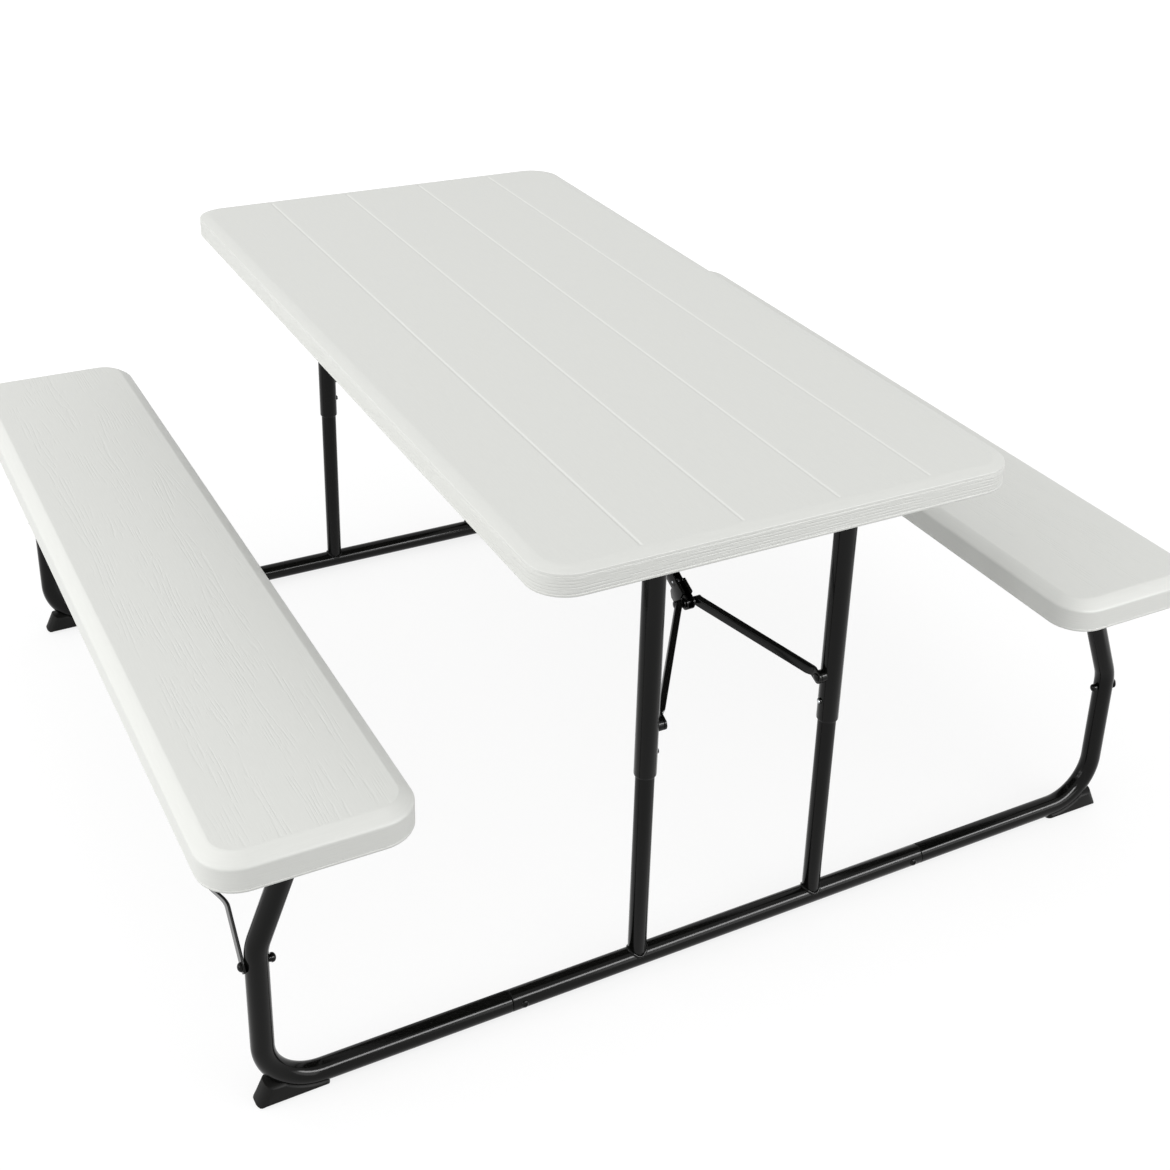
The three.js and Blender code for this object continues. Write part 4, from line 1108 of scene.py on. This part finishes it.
def dress_arm(end, side):
    """A square bar: a round lug riveted at the knuckle, and an end pressed flat on the leg's stud."""
    node = f"{end}_{side}_brace_arm"
    sign = SIDES[side] * ENDS[end]
    axes, knuckle, stud = brace_frame(end)
    half = ARM_PLATE_HEIGHT / 2
    inner = min(abs(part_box(node)[0].y), abs(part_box(node)[1].y)) + ARM_PLATE_THICKNESS / 2
    outer = max(abs(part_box(node)[0].y), abs(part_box(node)[1].y)) - ARM_PLATE_THICKNESS / 2
    nose = [math.pi / 2 * i / 6 for i in range(5, 0, -1)]
    lug_wide = ARM_PLATE_THICKNESS / 2 + ARM_BEND + ARM_ROD_WIDTH / 2
    lug_y = inner - ARM_PLATE_THICKNESS / 2 + lug_wide / 2
    lug_half = ARM_ROD_HEIGHT / 2
    stations = [
        (knuckle - ARM_LUG_REACH * math.sin(t), lug_y, lug_wide, 2 * lug_half * math.cos(t)) for t in nose
    ]
    stations.append((knuckle, lug_y, lug_wide, ARM_ROD_HEIGHT))
    stations.append((stud - ARM_EYE_LENGTH, outer - ARM_BEND, ARM_ROD_WIDTH, ARM_ROD_HEIGHT))
    stations.append((stud - half - MM, outer, ARM_PLATE_THICKNESS, ARM_PLATE_HEIGHT))
    stations += [
        (stud + half * math.sin(t), outer, ARM_PLATE_THICKNESS, 2 * half * math.cos(t)) for t in reversed(nose)
    ]
    bm = loft(bmesh.new(), [flat_oval(x, sign * y, w, h) for x, y, w, h in stations])
    face = lug_y + lug_wide / 2
    turned(
        bm, [(-MM, PIN_HEAD_RADIUS)] + dome(0.0, PIN_HEAD_THICKNESS, PIN_HEAD_RADIUS),
        Vector((knuckle, sign * face, 0)), (0, sign, 0),
    )
    bm.transform(axes)
    add_piece(f"{end}_{side}_arm", mesh_of(bm, node), STEEL, f"{end}_vee", (node,))


def dress_link(end):
    """The pressed channel from the clevis to the knuckle, and the collared pin through it."""
    axes, knuckle, stud = brace_frame(end)
    half = LINK_DEPTH / 2
    wide = size(f"{end}_link").y / 2
    ends = arc((knuckle, 0), half, -90, 90, 12)
    outline = [(knuckle - x, -z) for x, z in ends] + ends
    bm = bmesh.new()
    for sign in (-1, 1):
        plate(bm, outline, *sorted((sign * wide, sign * (wide - LINK_WALL))))
    web = [(half, -half), (knuckle, -half)] + arc((knuckle, 0), half, -90, 0, 8)[1:]
    web += arc((knuckle, 0), half - LINK_WALL, 0, -90, 8) + [(half, LINK_WALL - half)]
    plate(bm, web, -wide + 0.1 * MM, wide - 0.1 * MM)
    bmesh.ops.recalc_face_normals(bm, faces=bm.faces)
    ease_edges(bm, 0.5 * MM)
    bm.transform(axes)
    add_piece(f"{end}_channel_link", mesh_of(bm, "link"), STEEL, f"{end}_brace_link", (f"{end}_link",))
    rivet = dome(wide - MM, 1.2 * MM, LINK_RIVET_RADIUS)
    bm = turned(bmesh.new(), [(-d, r) for d, r in reversed(rivet)] + rivet, (0, 0, 0), (0, 1, 0))
    bm.transform(axes @ Matrix.Translation((knuckle - LINK_RIVET_INSET, 0, 0)))
    add_piece(f"{end}_link_rivet", mesh_of(bm, "rivet"), ZINC, f"{end}_brace_link")
    node = f"{end}_knuckle_pin"
    reach = size(node).y / 2
    collar = reach - COLLAR_LENGTH
    profile = [(-reach, COLLAR_RADIUS - COLLAR_EASE), (-reach + COLLAR_EASE, COLLAR_RADIUS)]
    profile += [(-collar, COLLAR_RADIUS), (-collar, KNUCKLE_PIN_RADIUS)]
    profile += [(-d, r) for d, r in reversed(profile)]
    bm = turned(bmesh.new(), profile, middle(node), (0, 1, 0))
    add_piece(f"{end}_knuckle", mesh_of(bm, node), STEEL, f"{end}_brace_link", (node,))


def dress_lock(end):
    """The slotted sleeve that slides over the link beside the knuckle, cut off at its lower corners."""
    node = f"{end}_lock_slider"
    axes, knuckle, stud = brace_frame(end)
    inner = size(f"{end}_link").y / 2 + LOCK_GAP
    outer = inner + LOCK_WALL
    inside = LINK_DEPTH / 2 + LOCK_GAP
    top = inside + LOCK_WALL
    x = (axes.inverted() @ middle(node)).x
    x0, x1 = x - LOCK_LENGTH / 2, x + LOCK_LENGTH / 2
    low = -inside - LOCK_KEEL
    foot = [(x0, low + LOCK_CORNER), (x0 + LOCK_CORNER, low), (x1 - LOCK_CORNER, low), (x1, low + LOCK_CORNER)]
    cheek = foot + [(x1, top), (x0, top)]
    keel = foot + [(x1, -inside), (x0, -inside)]
    bm = plate(bmesh.new(), keel, -outer + MM, outer - MM)
    for sign in (-1, 1):
        plate(bm, cheek, *sorted((sign * outer, sign * inner)))
        lip = sorted((sign * LOCK_SLOT_WIDTH / 2, sign * (outer - MM)))
        box(bm, Vector((x0, lip[0], inside)), Vector((x1, lip[1], top)))
    bmesh.ops.recalc_face_normals(bm, faces=bm.faces)
    ease_edges(bm, 0.7 * MM)
    bm.transform(axes)
    add_piece(f"{end}_lock_sleeve", mesh_of(bm, node), STEEL, f"{end}_lock", (node,))


# The benches


def dress_bench(side, grain_seed):
    body = f"{side}_bench"
    moulded_panel(f"{side}_bench_panel", f"{side}_seat", body, grain_seed, SEAT_SECTION, 1.2, 0.4)
    node = f"{side}_seat_rail"
    sign = SIDES[side]
    low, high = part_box(node)
    seat_y = middle(f"{side}_seat").y
    pivots = [middle(f"{end}_{side}_seat_pivot") for end in ENDS]
    strip_half = 30 * MM
    strip_low = high.z - 3 * MM
    corner = Vector((low.x, seat_y - strip_half, strip_low))
    bm = box(bmesh.new(), corner, Vector((high.x, seat_y + strip_half, high.z)))
    for pivot in pivots:
        drop = pivot.z - low.z
        ear = arc((pivot.x, pivot.z), drop, -180, 0, 12)
        outline = ear + [(pivot.x + 16 * MM, strip_low + MM), (pivot.x - 16 * MM, strip_low + MM)]
        for face in (-1, 1):
            y0 = seat_y + face * 27 * MM
            plate(bm, outline, *sorted((y0, seat_y + face * 30 * MM)))
    tab_y = high.y if sign > 0 else low.y
    for end, end_sign in ENDS.items():
        tab_x = middle(f"{end}_centre_rail").x - end_sign * 158 * MM
        y0, y1 = sorted((seat_y, tab_y))
        box(bm, Vector((tab_x - 15 * MM, y0, strip_low)), Vector((tab_x + 15 * MM, y1, high.z)))
        ear_y = sorted((tab_y, tab_y - sign * 3 * MM))
        foot = pivots[0].z
        outline = arc((tab_x + 7 * MM, foot + 8 * MM), 8 * MM, -90, 0, 5)
        outline = [(2 * tab_x - x, z) for x, z in reversed(outline)] + outline
        outline += [(tab_x + 15 * MM, strip_low + MM), (tab_x - 15 * MM, strip_low + MM)]
        plate(bm, outline, *ear_y)
    bmesh.ops.recalc_face_normals(bm, faces=bm.faces)
    ease_edges(bm, 0.6 * MM)
    add_piece(f"{side}_seat_strip", mesh_of(bm, node), STEEL, body, (node,))
    places = []
    for x in even_steps(low.x * 0.8, high.x * 0.8, 0.2):
        places += [(x, seat_y - 16 * MM, strip_low), (x, seat_y + 16 * MM, strip_low)]
    screws(f"{side}_seat_screws", places, (0, 0, -1), body)


def dress_strut(end, side):
    """A flat bar from a bench leg's bolt up to the seat strip, jogged outwards near its top."""
    node = f"{end}_{side}_strut"
    sign = SIDES[side]
    low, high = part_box(node)
    bolt = middle(f"{end}_{side}_strut_bolt")
    foot_y = (low.y if sign > 0 else high.y) + sign * STRUT_THICKNESS / 2
    foot = Vector((bolt.x, foot_y, bolt.z))
    tip = Vector((bolt.x - ENDS[end] * 158 * MM, foot_y, middle(f"{end}_{side}_seat_pivot").z + 8 * MM))
    along = (tip - foot).normalized()
    outward = Vector((0, sign, 0))
    flat = along.cross(outward)
    length = (tip - foot).length
    jog_end = STRUT_JOG_START + STRUT_JOG_LENGTH
    half = STRUT_WIDTH / 2
    stations = []
    for i in range(5, 0, -1):
        t = math.pi / 2 * i / 6
        stations.append((-half * math.sin(t), 0.0, half * math.cos(t)))
    stations.append((half, 0.0, half))
    for i in range(13):
        share = i / 12
        smooth = share * share * (3 - 2 * share)
        stations.append((jog_end - STRUT_JOG_LENGTH * (1 - share), STRUT_JOG * smooth, half))
    stations.append((length, STRUT_JOG, half))
    thin = STRUT_THICKNESS / 2
    corner = 1.2 * MM
    rings = []
    for distance, out, wide in stations:
        centre = foot + along * distance + outward * out
        section = [
            (thin - corner, -wide), (thin, -wide + corner), (thin, wide - corner), (thin - corner, wide),
            (corner - thin, wide), (-thin, wide - corner), (-thin, -wide + corner), (corner - thin, -wide),
        ]
        rings.append([centre + outward * a + flat * b for a, b in section])
    bm = loft(bmesh.new(), rings)
    add_piece(f"{end}_{side}_strut_bar", mesh_of(bm, node), STEEL, f"{end}_struts", (node,))


# Room, light and camera


def seen_ray(tree):
    """1 for a ray from the camera, straight or by a mirror or glass, and 0 for one that only lights."""
    rays = add_node(tree, "ShaderNodeLightPath")
    seen = add_node(
        tree, "ShaderNodeMath", {0: rays.outputs["Is Camera Ray"], 1: rays.outputs["Is Glossy Ray"]},
        operation="MAXIMUM",
    )
    return add_node(
        tree, "ShaderNodeMath", {0: seen.outputs["Value"], 1: rays.outputs["Is Transmission Ray"]},
        operation="MAXIMUM",
    ).outputs["Value"]


def stage_floor():
    """A white floor that keeps a soft shadow round the table and runs out to plain white."""
    material, tree, surface = new_material("studio_floor")
    place = add_node(tree, "ShaderNodeTexCoord")
    reach = add_node(
        tree, "ShaderNodeVectorMath", {0: place.outputs["Object"]}, operation="LENGTH"
    )
    lift = add_node(
        tree, "ShaderNodeMapRange", {"Value": reach.outputs["Value"]}, interpolation_type="SMOOTHSTEP",
        inputs={"From Min": SHADOW_REACH[0], "From Max": SHADOW_REACH[1], "To Min": FLOOR_GLOW, "To Max": 1.0},
    )
    shown = add_node(
        tree, "ShaderNodeMath", {0: lift.outputs["Result"], 1: seen_ray(tree)}, operation="MULTIPLY"
    )
    surface.inputs["Base Color"].default_value = (FLOOR_SHADE, FLOOR_SHADE, FLOOR_SHADE, 1)
    surface.inputs["Roughness"].default_value = 0.9
    surface.inputs["Specular IOR Level"].default_value = 0.0
    surface.inputs["Emission Color"].default_value = (1, 1, 1, 1)
    tree.links.new(shown.outputs["Value"], surface.inputs["Emission Strength"])
    bpy.ops.mesh.primitive_plane_add(size=FLOOR_SIZE)
    floor = bpy.context.object
    floor.name = "studio_floor"
    floor.data.materials.append(material)


def light_world():
    """A white room, which lights the object at a lower level than it shows."""
    world = bpy.data.worlds.new("studio")
    bpy.context.scene.world = world
    world.use_nodes = True
    tree = world.node_tree
    strength = add_node(
        tree, "ShaderNodeMapRange", {"Value": seen_ray(tree)}, inputs={"To Min": ROOM_LIGHT, "To Max": 1.0}
    )
    sky = tree.nodes["Background"]
    sky.inputs["Color"].default_value = (1, 1, 1, 1)
    tree.links.new(strength.outputs["Result"], sky.inputs["Strength"])


def softbox(name, place, target, width, height, power):
    lamp = bpy.data.lights.new(name, "AREA")
    lamp.shape = "RECTANGLE"
    lamp.size = width
    lamp.size_y = height
    lamp.energy = power
    obj = bpy.data.objects.new(name, lamp)
    bpy.context.scene.collection.objects.link(obj)
    obj.location = place
    obj.rotation_euler = (Vector(target) - Vector(place)).to_track_quat("-Z", "Y").to_euler()
    obj.visible_camera = False
    return obj


def gloss_card(name, place, target, width, height, power):
    """A card that shows as a light line along the glossy tubes, and adds no light to dull surfaces."""
    softbox(name, place, target, width, height, power).visible_diffuse = False


def set_camera():
    azimuth = math.radians(CAMERA_AZIMUTH)
    elevation = math.radians(CAMERA_ELEVATION)
    back = Vector((
        math.sin(azimuth) * math.cos(elevation),
        -math.cos(azimuth) * math.cos(elevation),
        math.sin(elevation),
    ))
    level = Vector((0, 0, 1)).cross(back).normalized()
    roll = math.radians(CAMERA_ROLL)
    right = level * math.cos(roll) + back.cross(level) * math.sin(roll)
    up = back.cross(right)
    data = bpy.data.cameras.new("camera")
    data.sensor_width = SENSOR
    data.lens = SENSOR * FOCAL_PIXELS / PICTURE_PIXELS
    data.shift_x = 0.5 - LENS_AXIS_PIXELS[0] / PICTURE_PIXELS
    data.shift_y = LENS_AXIS_PIXELS[1] / PICTURE_PIXELS - 0.5
    camera = bpy.data.objects.new("camera", data)
    bpy.context.scene.collection.objects.link(camera)
    turn = Matrix((right, up, back)).transposed().to_4x4()
    camera.matrix_world = Matrix.Translation(CAMERA_PLACE) @ turn
    bpy.context.scene.camera = camera


def light_studio():
    light_world()
    softbox("left_softbox", (0.2, -3.5, 1.25), (0, -0.7, 0.5), 2.8, 1.4, 50)
    softbox("near_softbox", (3.0, 1.6, 0.9), (0.686, 0.3, 0.5), 2.4, 1.2, 24)
    gloss_card("near_card", (2.06, 1.0, 1.27), (0.592, 1.0, 0.02), 2.6, 0.45, 90)
    bpy.context.scene.view_settings.view_transform = "Standard"


set_camera()
light_studio()
stage_floor()
dress_table()
for end_name in ENDS:
    dress_frame(end_name)
    dress_link(end_name)
    dress_lock(end_name)
    for side_name in SIDES:
        dress_arm(end_name, side_name)
        dress_strut(end_name, side_name)
for seed, side_name in enumerate(SIDES, start=3):
    dress_bench(side_name, float(seed))
